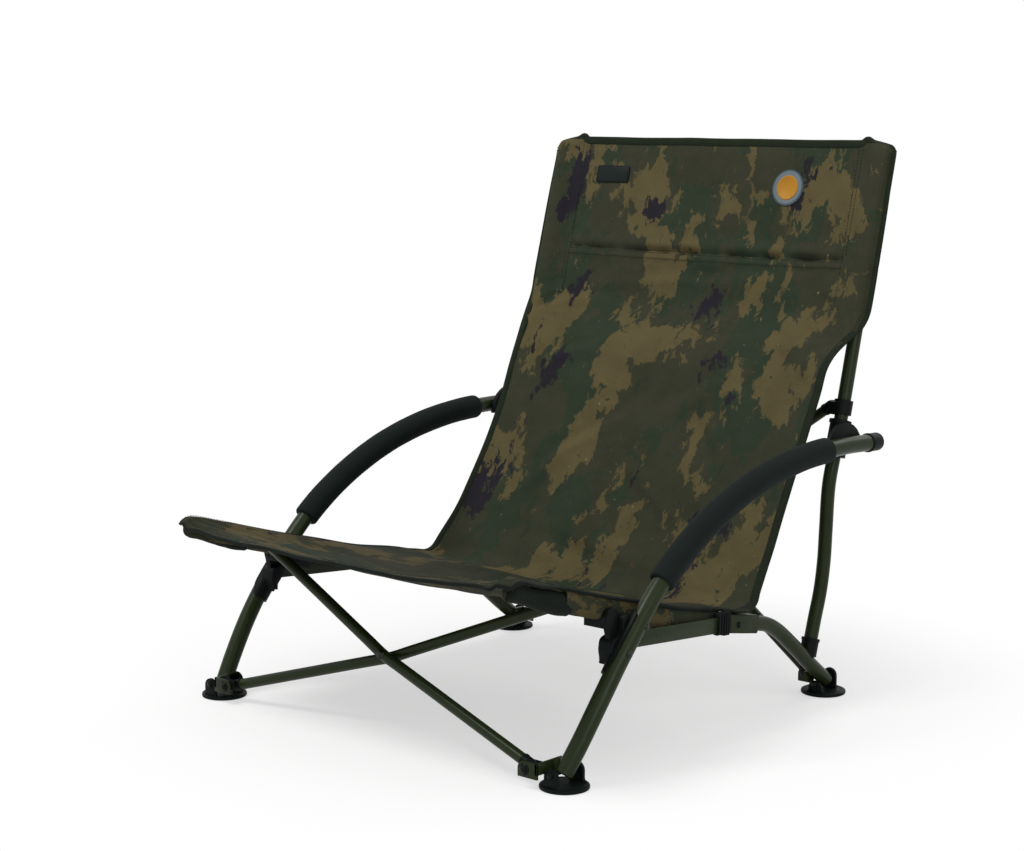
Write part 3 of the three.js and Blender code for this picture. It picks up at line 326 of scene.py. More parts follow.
class Line:
    """A smooth line through points, as the solid model draws its tubes."""

    def __init__(self, points: Sequence[Sequence[float]], fineness: int = 40) -> None:
        """Keeps the points and samples the line between them.

        Args:
            points: the points that it passes through.
            fineness: samples between two of them.
        """
        self.points = np.array(points, float)
        count = (len(self.points) - 1) * fineness
        self.samples = np.array([self.at_share(i / count) for i in range(count + 1)])
        steps = np.linalg.norm(np.diff(self.samples, axis=0), axis=1)
        self.reach = np.concatenate([[0.0], np.cumsum(steps)])
        self.length = float(self.reach[-1])

    def at_share(self, share: float) -> np.ndarray:
        """The point at a share of the number of spans, from 0 to 1."""
        last = len(self.points) - 1
        span = min(int(share * last), last - 1)
        local = share * last - span
        p1, p2 = self.points[span], self.points[span + 1]
        p0 = self.points[span - 1] if span else 2 * p1 - p2
        p3 = self.points[span + 2] if span + 2 <= last else 2 * p2 - p1
        d0, d1, d2 = (max(math.sqrt(np.linalg.norm(b - a)), 1e-4) for a, b in ((p0, p1), (p1, p2), (p2, p3)))
        t1 = ((p1 - p0) / d0 - (p2 - p0) / (d0 + d1) + (p2 - p1) / d1) * d1
        t2 = ((p2 - p1) / d1 - (p3 - p1) / (d1 + d2) + (p3 - p2) / d2) * d1
        a = -3 * p1 + 3 * p2 - 2 * t1 - t2
        b = 2 * p1 - 2 * p2 + t1 + t2
        return p1 + t1 * local + a * local ** 2 + b * local ** 3

    def at(self, distance: np.ndarray | float) -> np.ndarray:
        """Points at distances along the line."""
        d = np.clip(np.atleast_1d(distance), 0, self.length)
        return np.stack([np.interp(d, self.reach, self.samples[:, i]) for i in range(3)], axis=1)

    def direction(self, distance: float) -> np.ndarray:
        """The line's direction at a distance along it."""
        ends = self.at(np.array([distance - 0.5, distance + 0.5]))
        return unit(ends[1] - ends[0])

    def reach_at(self, axis: int, value: float) -> float:
        """How far along the line one of its coordinates first comes to a value."""
        values = self.samples[:, axis]
        way = 1 if values[-1] > values[0] else -1
        return float(np.interp(way * value, way * values, self.reach))


def side_line(table: Sequence[Sequence[float]], x: float = FRAME_HALF_WIDTH) -> Line:
    """The line of a tube that lies in one upright plane."""
    return Line([side_point(row, x) for row in table])


def tube(points: np.ndarray, radius: float | np.ndarray, upright: Sequence[float] = (1, 0, 0),
         sides: int = 32, oval: float | np.ndarray = 1.0) -> Shape:
    """A round or oval bar along points, closed at its ends.

    Args:
        points: its middle line.
        radius: one for all, or one for each point.
        upright: a direction that is never along the line.
        sides: faces round it.
        oval: its radius across that direction, as a share of the other one.

    Returns:
        The shape.
    """
    points = np.array(points, float)
    along = unit(np.gradient(points, axis=0))
    first = unit(np.array(upright, float) - (along @ np.array(upright, float))[:, None] * along)
    second = np.cross(along, first)
    angle = np.arange(sides) * 2 * math.pi / sides
    radii = np.broadcast_to(np.asarray(radius, float), (len(points),))
    squeeze = np.broadcast_to(np.asarray(oval, float), (len(points),))[:, None, None]
    ring = np.cos(angle)[None, :, None] * first[:, None] \
        + np.sin(angle)[None, :, None] * second[:, None] * squeeze
    corners = points[:, None] + ring * radii[:, None, None]
    faces = [
        (i * sides + j, i * sides + (j + 1) % sides, (i + 1) * sides + (j + 1) % sides, (i + 1) * sides + j)
        for i in range(len(points) - 1) for j in range(sides)
    ]
    faces += [tuple(reversed(range(sides))), tuple((len(points) - 1) * sides + j for j in range(sides))]
    return Shape(corners.reshape(-1, 3), faces)


def turned(profile: Sequence[tuple[float, float]], origin: Sequence[float],
           direction: Sequence[float], sides: int = 40) -> Shape:
    """A shape turned about an axis, from its pole at the bottom to its pole at the top.

    Args:
        profile: radius and height of each ring; the first and last radius are 0.
        origin: the point of height 0.
        direction: the axis.
        sides: faces round it.

    Returns:
        The shape.
    """
    axis = unit(np.array(direction, float))
    helper = np.array([1.0, 0, 0]) if abs(axis[0]) < 0.9 else np.array([0, 1.0, 0])
    first = unit(np.cross(helper, axis))
    second = np.cross(axis, first)
    corners, faces, rings = [], [], []
    for radius, height in profile:
        middle = np.array(origin, float) + axis * height
        if radius < 1e-6:
            rings.append([len(corners)])
            corners.append(middle)
            continue
        rings.append(list(range(len(corners), len(corners) + sides)))
        for j in range(sides):
            angle = 2 * math.pi * j / sides
            corners.append(middle + radius * (math.cos(angle) * first + math.sin(angle) * second))
    for low, high in zip(rings, rings[1:]):
        for j in range(sides):
            k = (j + 1) % sides
            if len(low) == 1:
                faces.append((low[0], high[k], high[j]))
            elif len(high) == 1:
                faces.append((low[j], low[k], high[0]))
            else:
                faces.append((low[j], low[k], high[k], high[j]))
    return Shape(np.array(corners), faces)


def slab(outline: Sequence[tuple[float, float]], low: float, high: float) -> Shape:
    """A plate cut to a side-view outline, from x = low to x = high."""
    count = len(outline)
    points = [(x, y, z) for x in (low, high) for y, z in outline]
    faces = [tuple(reversed(range(count))), tuple(range(count, 2 * count))]
    faces += [(i, (i + 1) % count, count + (i + 1) % count, count + i) for i in range(count)]
    return Shape(np.array(points, float), faces)


def box(low: Sequence[float], high: Sequence[float]) -> Shape:
    """A block between two corners."""
    outline = [(low[1], low[2]), (high[1], low[2]), (high[1], high[2]), (low[1], high[2])]
    return slab(outline, low[0], high[0])


def arc(centre: Sequence[float], radius: float, start: float, stop: float,
        steps: int) -> list[tuple[float, float]]:
    """Points of an arc between two angles in degrees."""
    angles = np.radians(np.linspace(start, stop, steps + 1))
    return [(centre[0] + radius * math.cos(a), centre[1] + radius * math.sin(a)) for a in angles]


def eased(shape: Shape, width: float, segments: int = 2, sharp: float = 32.0) -> Shape:
    """A shape with its sharp edges rounded, as a mould or a press leaves them.

    Args:
        shape: the plain shape.
        width: width of the rounding.
        segments: faces across it.
        sharp: the angle in degrees over which an edge is rounded.

    Returns:
        The rounded shape.
    """
    work = bmesh.new()
    corners = [work.verts.new(p) for p in shape.points]
    for face in shape.faces:
        if len(set(face)) > 2:
            try:
                work.faces.new([corners[i] for i in face])
            except ValueError:
                continue
    bmesh.ops.remove_doubles(work, verts=work.verts, dist=0.02)
    bmesh.ops.dissolve_limit(work, angle_limit=math.radians(1.5), verts=work.verts, edges=work.edges)
    bmesh.ops.recalc_face_normals(work, faces=work.faces)
    edges = [e for e in work.edges if len(e.link_faces) == 2 and e.calc_face_angle(0) > math.radians(sharp)]
    bmesh.ops.bevel(
        work, geom=edges, offset=width, segments=segments, profile=0.5, affect="EDGES", clamp_overlap=True)
    work.verts.index_update()
    made = Shape(
        np.array([v.co[:] for v in work.verts]), [tuple(v.index for v in f.verts) for f in work.faces])
    work.free()
    return made


def solid_of(node: str) -> Shape:
    """A copy of a solid of the frame, in millimetres."""
    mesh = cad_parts[node].data
    points = np.array([v.co[:] for v in mesh.vertices]) / MM
    return Shape(points, [tuple(p.vertices) for p in mesh.polygons])


def layered(grid: np.ndarray, flat: np.ndarray, thickness: float) -> Shape:
    """A sheet of even thickness over a grid of points, closed at its rim.

    Args:
        grid: rows and columns of points.
        flat: the same grid on the flat cloth, in metres.
        thickness: of the cloth.

    Returns:
        The closed sheet, with its flat places.
    """
    rows, columns = grid.shape[:2]
    normal = unit(np.cross(np.gradient(grid, axis=1), np.gradient(grid, axis=0)))
    points = np.concatenate([(grid + way * normal * thickness / 2).reshape(-1, 3) for way in (1, -1)])
    under = rows * columns
    faces: list[tuple[int, ...]] = []
    for r in range(rows - 1):
        for c in range(columns - 1):
            a, b, d, e = (
                r * columns + c, r * columns + c + 1, (r + 1) * columns + c + 1, (r + 1) * columns + c)
            faces += [(a, b, d, e), (under + e, under + d, under + b, under + a)]
    rim = [c for c in range(columns)] + [r * columns + columns - 1 for r in range(1, rows)]
    rim += [(rows - 1) * columns + c for c in range(columns - 2, -1, -1)] \
        + [r * columns for r in range(rows - 2, 0, -1)]
    faces += [(b, a, under + a, under + b) for a, b in zip(rim, rim[1:] + rim[:1])]
    places = np.concatenate([flat.reshape(-1, 2)] * 2)
    return Shape(points, faces, places)


def taped(line: np.ndarray, inward: np.ndarray, normal: np.ndarray, width: float, half: float,
          share: np.ndarray | None = None) -> Shape:
    """A binding tape folded over a cloth's edge.

    Args:
        line: points along the edge.
        inward: the direction into the cloth at each.
        normal: the cloth's normal at each.
        width: of the tape, on each face of the cloth.
        half: half the thickness over the tape.
        share: how much of the width there is at each point.

    Returns:
        The closed tape.
    """
    part = np.ones((len(line), 1)) if share is None else share[:, None]
    profile = [(width, half * 0.45), (width - 1.2, half), (2.0, half), (0.2, half * 0.85), (-1.1, half * 0.4)]
    profile += [(x, -y) for x, y in reversed(profile)]
    count = len(profile)
    points = np.stack([line + inward * x * part + normal * y for x, y in profile], axis=1)
    faces = [
        (i * count + j, i * count + (j + 1) % count, (i + 1) * count + (j + 1) % count, (i + 1) * count + j)
        for i in range(len(line) - 1) for j in range(count)
    ]
    faces += [tuple(reversed(range(count))), tuple((len(line) - 1) * count + j for j in range(count))]
    return Shape(points.reshape(-1, 3), faces)


@dataclass(frozen=True)
class Finish:
    """A finish of one colour, with the grain that its making leaves.

    Attributes:
        name: the material and how its surface was made.
        slot: the record's material slot.
        colour: its sRGB colour.
        roughness: of the surface.
        grain: size of the surface's grain, in millimetres.
        relief: height of that grain, in millimetres.
        metallic: 1 for bare metal.
        coat: weight of a clear top layer.
        sheen: weight of the fibres' sheen.
        mottle: how far the colour varies, as a share.
        specular: strength of its plain reflection, where 0.5 is that of a smooth plastic.
        worn: sRGB colour of rubbed spots, if any.
    """

    name: str
    slot: str
    colour: str
    roughness: float
    grain: float
    relief: float
    metallic: float = 0.0
    coat: float = 0.0
    sheen: float = 0.0
    mottle: float = 0.08
    specular: float = 0.3
    worn: str = ""

    def material(self) -> bpy.types.Material:
        """The finish as a material, made once."""
        made = bpy.data.materials.get(self.name)
        if made:
            return made
        made, tree, shader = surface(self.name)
        place = put(tree, "ShaderNodeTexCoord").outputs["Object"]
        base = to_linear(self.colour)
        broad = put(tree, "ShaderNodeTexNoise", {
            "Vector": place, "Scale": 1 / (45 * MM), "Detail": 4.0, "Roughness": 0.6})
        tone = spread(tree, broad.outputs["Fac"], 1 - self.mottle, 1 + self.mottle)
        colour = put(
            tree, "ShaderNodeVectorMath", {0: base[:3], "Scale": tone}, operation="SCALE").outputs[0]
        fine = put(tree, "ShaderNodeTexNoise", {
            "Vector": place, "Scale": 1 / (self.grain * MM), "Detail": 2.0, "Roughness": 0.5})
        if self.worn:
            rub = put(tree, "ShaderNodeTexNoise", {
                "Vector": place, "Scale": 1 / (9 * MM), "Detail": 6.0, "Roughness": 0.7})
            spots = put(tree, "ShaderNodeMapRange", {
                "Value": rub.outputs["Fac"], "From Min": 0.69, "From Max": 0.76, "To Max": 0.5})
            colour = put(tree, "ShaderNodeMix", {
                0: spots.outputs["Result"], 6: colour, 7: to_linear(self.worn)}, data_type="RGBA").outputs[2]
        gloss = spread(tree, broad.outputs["Fac"], self.roughness - 0.05, self.roughness + 0.06)
        bump = put(tree, "ShaderNodeBump", {
            "Height": fine.outputs["Fac"], "Strength": 1.0, "Distance": self.relief * MM})
        tree.links.new(colour, shader.inputs["Base Color"])
        tree.links.new(gloss, shader.inputs["Roughness"])
        tree.links.new(bump.outputs["Normal"], shader.inputs["Normal"])
        settle(shader, Metallic=self.metallic, Specular_IOR_Level=self.specular, Coat_Weight=self.coat,
               Coat_Roughness=0.28, Sheen_Weight=self.sheen, Sheen_Roughness=0.5)
        made.diffuse_color = base
        return made


@dataclass(frozen=True)
class WovenTape:
    """Woven polyester or nylon tape: fine ribs across a dull, dark surface.

    Attributes:
        name: of the material.
        slot: the record's material slot.
        colour: its sRGB colour.
        pitch: spacing of its ribs in millimetres, drawn coarser than real ones, so that they show.
    """

    name: str
    slot: str
    colour: str
    pitch: float = 1.3

    def material(self) -> bpy.types.Material:
        """The tape as a material, made once."""
        made = bpy.data.materials.get(self.name)
        if made:
            return made
        made, tree, shader = surface(self.name)
        place = put(tree, "ShaderNodeTexCoord").outputs["Object"]
        ribs = threads(tree, place, self.pitch, 0.6, ("X", "DIAGONAL"))
        weave = reckon(tree, "MULTIPLY", *ribs)
        fuzz = put(tree, "ShaderNodeTexNoise", {"Vector": place, "Scale": 1 / (14 * MM), "Detail": 5.0})
        tone = reckon(tree, "MULTIPLY_ADD", weave, 0.28, 0.86)
        fade = spread(tree, fuzz.outputs["Fac"], 0.88, 1.14)
        both = reckon(tree, "MULTIPLY", tone, fade)
        colour = put(
            tree, "ShaderNodeVectorMath", {0: to_linear(self.colour)[:3], "Scale": both}, operation="SCALE")
        bump = put(tree, "ShaderNodeBump", {"Height": weave, "Strength": 0.8, "Distance": 0.25 * MM})
        tree.links.new(colour.outputs[0], shader.inputs["Base Color"])
        tree.links.new(bump.outputs["Normal"], shader.inputs["Normal"])
        settle(shader, Roughness=0.8, Specular_IOR_Level=0.07, Sheen_Weight=0.02, Sheen_Roughness=0.45)
        made.diffuse_color = to_linear(self.colour)
        return made


@dataclass(frozen=True)
class CamouflageCloth:
    """Printed 600-denier polyester: a plain weave under ragged patches of leaf, earth and shade.

    Attributes:
        name: of the material.
        slot: the record's material slot.
        ground: sRGB colour of the dark olive between the patches.
        leaf: of the green patches.
        earth: of the brown patches.
        shade: of the near-black patches.
        fleck: of the pale flecks.
        rust: of the red-brown flecks.
        pitch: thread spacing in millimetres, drawn coarser than a real one, so that it shows.
        value: brightness of the whole print, as a share; below 1 it darkens the print as painted shade.
    """

    name: str = "printed woven polyester"
    slot: str = "camouflage_cloth"
    ground: str = "#343528"
    leaf: str = "#2b3427"
    earth: str = "#534b32"
    shade: str = "#222026"
    fleck: str = "#6e6a50"
    rust: str = "#4f3a2b"
    pitch: float = 1.5
    value: float = 1.0

    def patches(self, tree: bpy.types.NodeTree, turned_by: float, size: float, stretch: float, shift: float,
                edge: float) -> bpy.types.NodeSocket:
        """A mask of ragged patches.

        Args:
            tree: the material's node tree.
            turned_by: lean of the patches, in degrees.
            size: their size in millimetres.
            stretch: how much longer than wide they are.
            shift: moves the pattern, so that no two masks agree.
            edge: noise level above which the cloth is inside a patch.

        Returns:
            The mask's socket, 1 inside a patch.
        """
        place = put(tree, "ShaderNodeUVMap", uv_map="flat").outputs["UV"]
        laid = put(tree, "ShaderNodeMapping", {
            "Vector": place, "Location": (shift, shift * 0.7, 0), "Rotation": (0, 0, math.radians(turned_by)),
            "Scale": (1, 1 / stretch, 1)}).outputs["Vector"]
        warp = put(tree, "ShaderNodeTexNoise", {
            "Vector": laid, "Scale": 1 / (22 * MM), "Detail": 3.0, "Roughness": 0.7})
        pull = put(
            tree, "ShaderNodeVectorMath", {0: warp.outputs["Color"], 1: (0.5, 0.5, 0.5)},
            operation="SUBTRACT")
        bent = put(
            tree, "ShaderNodeVectorMath", {0: pull.outputs[0], 1: (0.022, 0.022, 0), 2: laid},
            operation="MULTIPLY_ADD")
        field_ = put(tree, "ShaderNodeTexNoise", {
            "Vector": bent.outputs[0], "Scale": 1 / (size * MM), "Detail": 5.0, "Roughness": 0.6,
            "Lacunarity": 2.3})
        cut = put(tree, "ShaderNodeMapRange", {
            "Value": field_.outputs["Fac"], "From Min": edge - 0.006, "From Max": edge + 0.006})
        return cut.outputs["Result"]

    def material(self) -> bpy.types.Material:
        """The cloth as a material, made once."""
        made = bpy.data.materials.get(self.name)
        if made:
            return made
        made, tree, shader = surface(self.name)
        place = put(tree, "ShaderNodeUVMap", uv_map="flat").outputs["UV"]
        colour: object = to_linear(self.ground)
        layers = (
            (self.leaf, self.patches(tree, 14, 120, 1.5, 0.31, 0.53)),
            (self.earth, self.patches(tree, -28, 96, 1.6, 1.13, 0.532)),
            (self.leaf, self.patches(tree, 30, 46, 1.4, 2.61, 0.64)),
            (self.shade, self.patches(tree, -12, 96, 1.9, 3.37, 0.605)),
            (self.fleck, self.patches(tree, 5, 7, 1.8, 4.19, 0.7)),
            (self.rust, self.patches(tree, 50, 8, 1.4, 5.23, 0.7)),
        )
        for tint, mask in layers:
            colour = put(
                tree, "ShaderNodeMix", {0: mask, 6: colour, 7: to_linear(tint)},
                data_type="RGBA").outputs[2]
        bands = threads(tree, place, self.pitch, 0.4, ("X", "Y"))
        weave = reckon(tree, "ADD", *bands)
        fade = put(tree, "ShaderNodeTexNoise", {
            "Vector": place, "Scale": 1 / (60 * MM), "Detail": 5.0, "Roughness": 0.65})
        light = spread(tree, fade.outputs["Fac"], 0.86 * self.value, 1.12 * self.value)
        tone = reckon(tree, "MULTIPLY_ADD", weave, 0.055, 0.945)
        both = reckon(tree, "MULTIPLY", light, tone)
        shaded = put(tree, "ShaderNodeVectorMath", {0: colour, "Scale": both}, operation="SCALE")
        crumple = put(tree, "ShaderNodeTexNoise", {
            "Vector": place, "Scale": 1 / (26 * MM), "Detail": 4.0, "Roughness": 0.55})
        woven = put(tree, "ShaderNodeBump", {"Height": weave, "Strength": 0.5, "Distance": 0.12 * MM})
        bump = put(tree, "ShaderNodeBump", {
            "Height": crumple.outputs["Fac"], "Strength": 0.8, "Distance": 3.6 * MM,
            "Normal": woven.outputs["Normal"]})
        tree.links.new(shaded.outputs[0], shader.inputs["Base Color"])
        tree.links.new(bump.outputs["Normal"], shader.inputs["Normal"])
        settle(shader, Roughness=0.82, Specular_IOR_Level=0.06, Sheen_Weight=0.01, Sheen_Roughness=0.5)
        made.diffuse_color = to_linear(self.ground)
        return made


# Powder coat on steel tube: a satin, slightly pebbled green film, rubbed paler in small spots
PAINT = Finish(
    "powder coated steel", "frame_paint", "#232b17", 0.3, 1.6, 0.02, coat=0.07, mottle=0.07, specular=0.08,
    worn="#333d25")
# Glass-filled nylon from a mould: dull black with a fine spark grain
BLACK = Finish(
    "moulded black nylon", "black_plastic", "#0d1010", 0.5, 0.9, 0.03, mottle=0.1, specular=0.08,
    worn="#1a1d1c")
# The same nylon, dyed a dark green
GREEN = Finish(
    "moulded green nylon", "green_plastic", "#0b120f", 0.48, 0.9, 0.03, mottle=0.1, specular=0.06,
    worn="#19221b")
# The same nylon, dyed the green of the tubes
OLIVE = Finish(
    "moulded olive nylon", "green_plastic", "#232a19", 0.48, 0.9, 0.03, mottle=0.1, specular=0.09,
    worn="#303824")
# Closed-cell foam, cut and ground: matt, with open cells on its skin
FOAM = Finish(
    "ground closed-cell foam", "grip_foam", "#171d1c", 0.9, 1.5, 0.16, sheen=0.02, mottle=0.12,
    specular=0.08)
# Zinc-plated steel, cold headed: grey with a soft shine
STEEL = Finish("zinc plated steel", "rivet_steel", "#32352f", 0.45, 0.7, 0.01, metallic=1.0, mottle=0.12)
# Steel blacked in an oil bath, for the bolts
DARK_STEEL = Finish("blacked steel", "rivet_steel", "#1c1e1c", 0.42, 0.7, 0.01, metallic=1.0, mottle=0.12)
# Spun polyester thread, darkened so that the stitch lines also stand in for the shade along the seams: partly
# the thread's colour, partly painted shade
THREAD_AND_SEAM_SHADE = Finish("spun polyester thread", "dark_nylon", "#171d16", 0.7, 0.5, 0.02, specular=0.15)
# Rubber patches, pressed in a mould
RIM = Finish("pressed grey rubber", "badge_rubber", "#3f4c55", 0.6, 0.8, 0.02, specular=0.2)
RING = Finish("pressed pale rubber", "badge_rubber", "#616c70", 0.6, 0.8, 0.02, specular=0.2)
CENTRE = Finish("pressed ochre rubber", "badge_rubber", "#a3721b", 0.55, 0.8, 0.02, specular=0.2)
LABEL = Finish("pressed dark rubber", "dark_nylon", "#131b18", 0.5, 0.8, 0.02, specular=0.1)
LABEL_RIM = Finish("pressed black rubber", "dark_nylon", "#0a0f0e", 0.5, 0.8, 0.02, specular=0.1)
BINDING = WovenTape("woven binding tape", "dark_nylon", "#1e251a")
# Dark woven nylon of the pouches; the seat's binding is made of it too, darker than the back's tape: painted
# shade along the seat's edge
POCKET_AND_SHADED_TAPE = WovenTape("woven black nylon", "dark_nylon", "#151a16", 1.6)
CAMOUFLAGE = CamouflageCloth()
# The same print as the back, darkened as a whole to a darker seat: painted shade, because lit from above its
# top would come out brighter than the back
SHADED_SEAT_CAMOUFLAGE = CamouflageCloth("printed woven polyester of the seat", value=0.74)


def own_name(name: str) -> str:
    """A piece's name that isn't a node's own."""
    return f"{name}_look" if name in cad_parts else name


def emit(node: str, shape: Shape, finish: Finish | WovenTape | CamouflageCloth, body: str,
         sharp: float = 38.0, tidy: bool = True) -> bpy.types.Object:
    """Makes a piece of a shape and lets it ride on a body.

    Args:
        node: the CAD node that it replaces, or a name of its own.
        shape: in millimetres.
        finish: what it is made of.
        body: the CAD body that carries it.
        sharp: the angle in degrees over which an edge shows as sharp.
        tidy: turn its faces outwards, which a sheet has already.

    Returns:
        The piece.
    """
    name = own_name(node)
    mesh = bpy.data.meshes.new(name)
    mesh.from_pydata((shape.points * MM).tolist(), [], shape.faces)
    if shape.flat is not None:
        layer = mesh.uv_layers.new(name="flat")
        corners = np.zeros(len(mesh.loops), np.int32)
        mesh.loops.foreach_get("vertex_index", corners)
        layer.data.foreach_set("uv", shape.flat[corners].astype(np.float32).ravel())
    if tidy:
        work = bmesh.new()
        work.from_mesh(mesh)
        bmesh.ops.remove_doubles(work, verts=work.verts, dist=1e-6)
        bmesh.ops.recalc_face_normals(work, faces=work.faces)
        work.to_mesh(mesh)
        work.free()
    mesh.polygons.foreach_set("use_smooth", [True] * len(mesh.polygons))
    mesh.set_sharp_from_angle(angle=math.radians(sharp))
    piece = bpy.data.objects.new(name, mesh)
    bpy.context.scene.collection.objects.link(piece)
    return dress(piece, finish, body, [node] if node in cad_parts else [])


def dress(piece: bpy.types.Object, finish: Finish | WovenTape | CamouflageCloth, body: str,
          stands_for: Iterable[str] = ()) -> bpy.types.Object:
    """Gives a piece its finish and its body, and reports it.

    Args:
        piece: the finished mesh object.
        finish: what it is made of.
        body: the CAD body that carries it.
        stands_for: CAD nodes that it replaces.

    Returns:
        The piece.
    """
    piece.data.materials.clear()
    piece.data.materials.append(finish.material())
    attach(piece, body)
    if stands_for:
        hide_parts(*stands_for)
    LOG.info("%s: %d faces, %s, on %s", piece.name, len(piece.data.polygons), finish.name, body)
    return piece


class Socket(Enum):
    """Kinds of a tree's named input."""

    FLOAT = "NodeSocketFloat"
    INTEGER = "NodeSocketInt"
    MATERIAL = "NodeSocketMaterial"
    GEOMETRY = "NodeSocketGeometry"


class Repeat:
    """A Geometry Nodes tree with named inputs, run on a base mesh and turned into a plain mesh."""

    def __init__(self, name: str, sizes: dict[str, Socket]) -> None:
        """Starts the tree with its inputs.

        Args:
            name: of the tree.
            sizes: each input's name and kind.
        """
        self.tree = bpy.data.node_groups.new(name, "GeometryNodeTree")
        self.tree.interface.new_socket("Geometry", in_out="INPUT", socket_type=Socket.GEOMETRY.value)
        self.tree.interface.new_socket("Geometry", in_out="OUTPUT", socket_type=Socket.GEOMETRY.value)
        self.keys: dict[str, str] = {}
        for label, kind in {**sizes, "Material": Socket.MATERIAL}.items():
            made = self.tree.interface.new_socket(label, in_out="INPUT", socket_type=kind.value)
            self.keys[label] = made.identifier
        self.given = self.tree.nodes.new("NodeGroupInput")

    def close(self, instances: bpy.types.NodeSocket) -> None:
        """Ends the tree in plain, dressed geometry."""
        real = put(self.tree, "GeometryNodeRealizeInstances", {"Geometry": instances})
        smooth = put(self.tree, "GeometryNodeSetShadeSmooth", {"Geometry": real.outputs[0]})
        dressed = put(self.tree, "GeometryNodeSetMaterial", {
            "Geometry": smooth.outputs[0], "Material": self.given.outputs["Material"]})
        out = self.tree.nodes.new("NodeGroupOutput")
        self.tree.links.new(dressed.outputs[0], out.inputs[0])

    def run(self, name: str, base: bpy.types.Mesh, finish: Finish | WovenTape,
            **values: float) -> bpy.types.Object:
        """Runs the tree on a mesh.

        Args:
            name: of the piece.
            base: the mesh that it works on.
            finish: of the result.
            values: the inputs' values, with _ for a space in their names.

        Returns:
            The piece as a plain mesh object.
        """
        name = own_name(name)
        host = bpy.data.objects.new(name + "_base", base)
        bpy.context.scene.collection.objects.link(host)
        modifier = host.modifiers.new("repeat", "NODES")
        modifier.node_group = self.tree
        for label, value in values.items():
            modifier[self.keys[label.replace("_", " ")]] = value
        modifier[self.keys["Material"]] = finish.material()
        graph = bpy.context.evaluated_depsgraph_get()
        mesh = bpy.data.meshes.new_from_object(host.evaluated_get(graph), depsgraph=graph)
        host.modifiers.remove(modifier)
        bpy.data.objects.remove(host)
        mesh.name = name
        piece = bpy.data.objects.new(name, mesh)
        bpy.context.scene.collection.objects.link(piece)
        return piece


def fan(dx: float, dv: float, height: float, fade: float, folds: float, shift: float = 0.0) -> float:
    """How far the folds that fan out from a corner of a cloth push it at one place.

    Args:
        dx: the way from the corner to the place across the cloth, inwards.
        dv: the way along the cloth.
        height: of the folds.
        fade: how far they reach.
        folds: how many there are in a turn.
        shift: turns them a little.

    Returns:
        The push in millimetres.
    """
    reach = math.hypot(dx, dv)
    turn = math.atan2(dv, dx)
    return height * math.exp(-reach / fade) * math.sin(turn * folds + shift) * min(1.0, reach / 30)


def marked_points(places: Sequence[np.ndarray], facing: Sequence[np.ndarray],
                  sizes: Sequence[float]) -> bpy.types.Mesh:
    """Loose points, each with the way it faces and its size.

    Args:
        places: in millimetres.
        facing: a direction for each.
        sizes: a scale for each.

    Returns:
        The mesh of points.
    """
    mesh = bpy.data.meshes.new("points")
    mesh.from_pydata((np.array(places) * MM).tolist(), [], [])
    way = mesh.attributes.new("facing", "FLOAT_VECTOR", "POINT")
    way.data.foreach_set("vector", np.array(facing, np.float32).ravel())
    size = mesh.attributes.new("size", "FLOAT", "POINT")
    size.data.foreach_set("value", np.array(sizes, np.float32))
    return mesh


@dataclass(frozen=True)
class Head:
    """A fastener's head and washer, in millimetres, and the head's number of sides."""

    radius: float
    height: float
    washer_radius: float
    washer_height: float
    sides: int

    @property
    def inputs(self) -> dict[str, float]:
        """The sizes under the names that the fastener tree gives them."""
        return {
            "Head_Radius": self.radius * MM, "Head_Height": self.height * MM,
            "Washer_Radius": self.washer_radius * MM, "Washer_Height": self.washer_height * MM,
            "Sides": self.sides}


CROSS_RIVET = Head(4.4, 1.2, 6.4, 0.9, 24)
CROSS_BOLT = Head(4.0, 1.6, 5.4, 0.8, 6)
LEG_RIVET = Head(2.9, 1.0, 4.6, 1.0, 24)
LUG_BOLT = Head(4.6, 2.6, 7.0, 1.0, 6)
# Steps along a row of stitches across the cloth, and how high thread lies on tape and on plain cloth
END_STITCH_STEPS = 260
TAPE_LIFT = 2.2
CLOTH_LIFT = 1.3
# One stitch: its length, its distance from the next one and its thread
STITCH = {"Stitch_Length": 3.6 * MM, "Stitch_Pitch": 4.6 * MM, "Thread_Radius": 0.42 * MM}


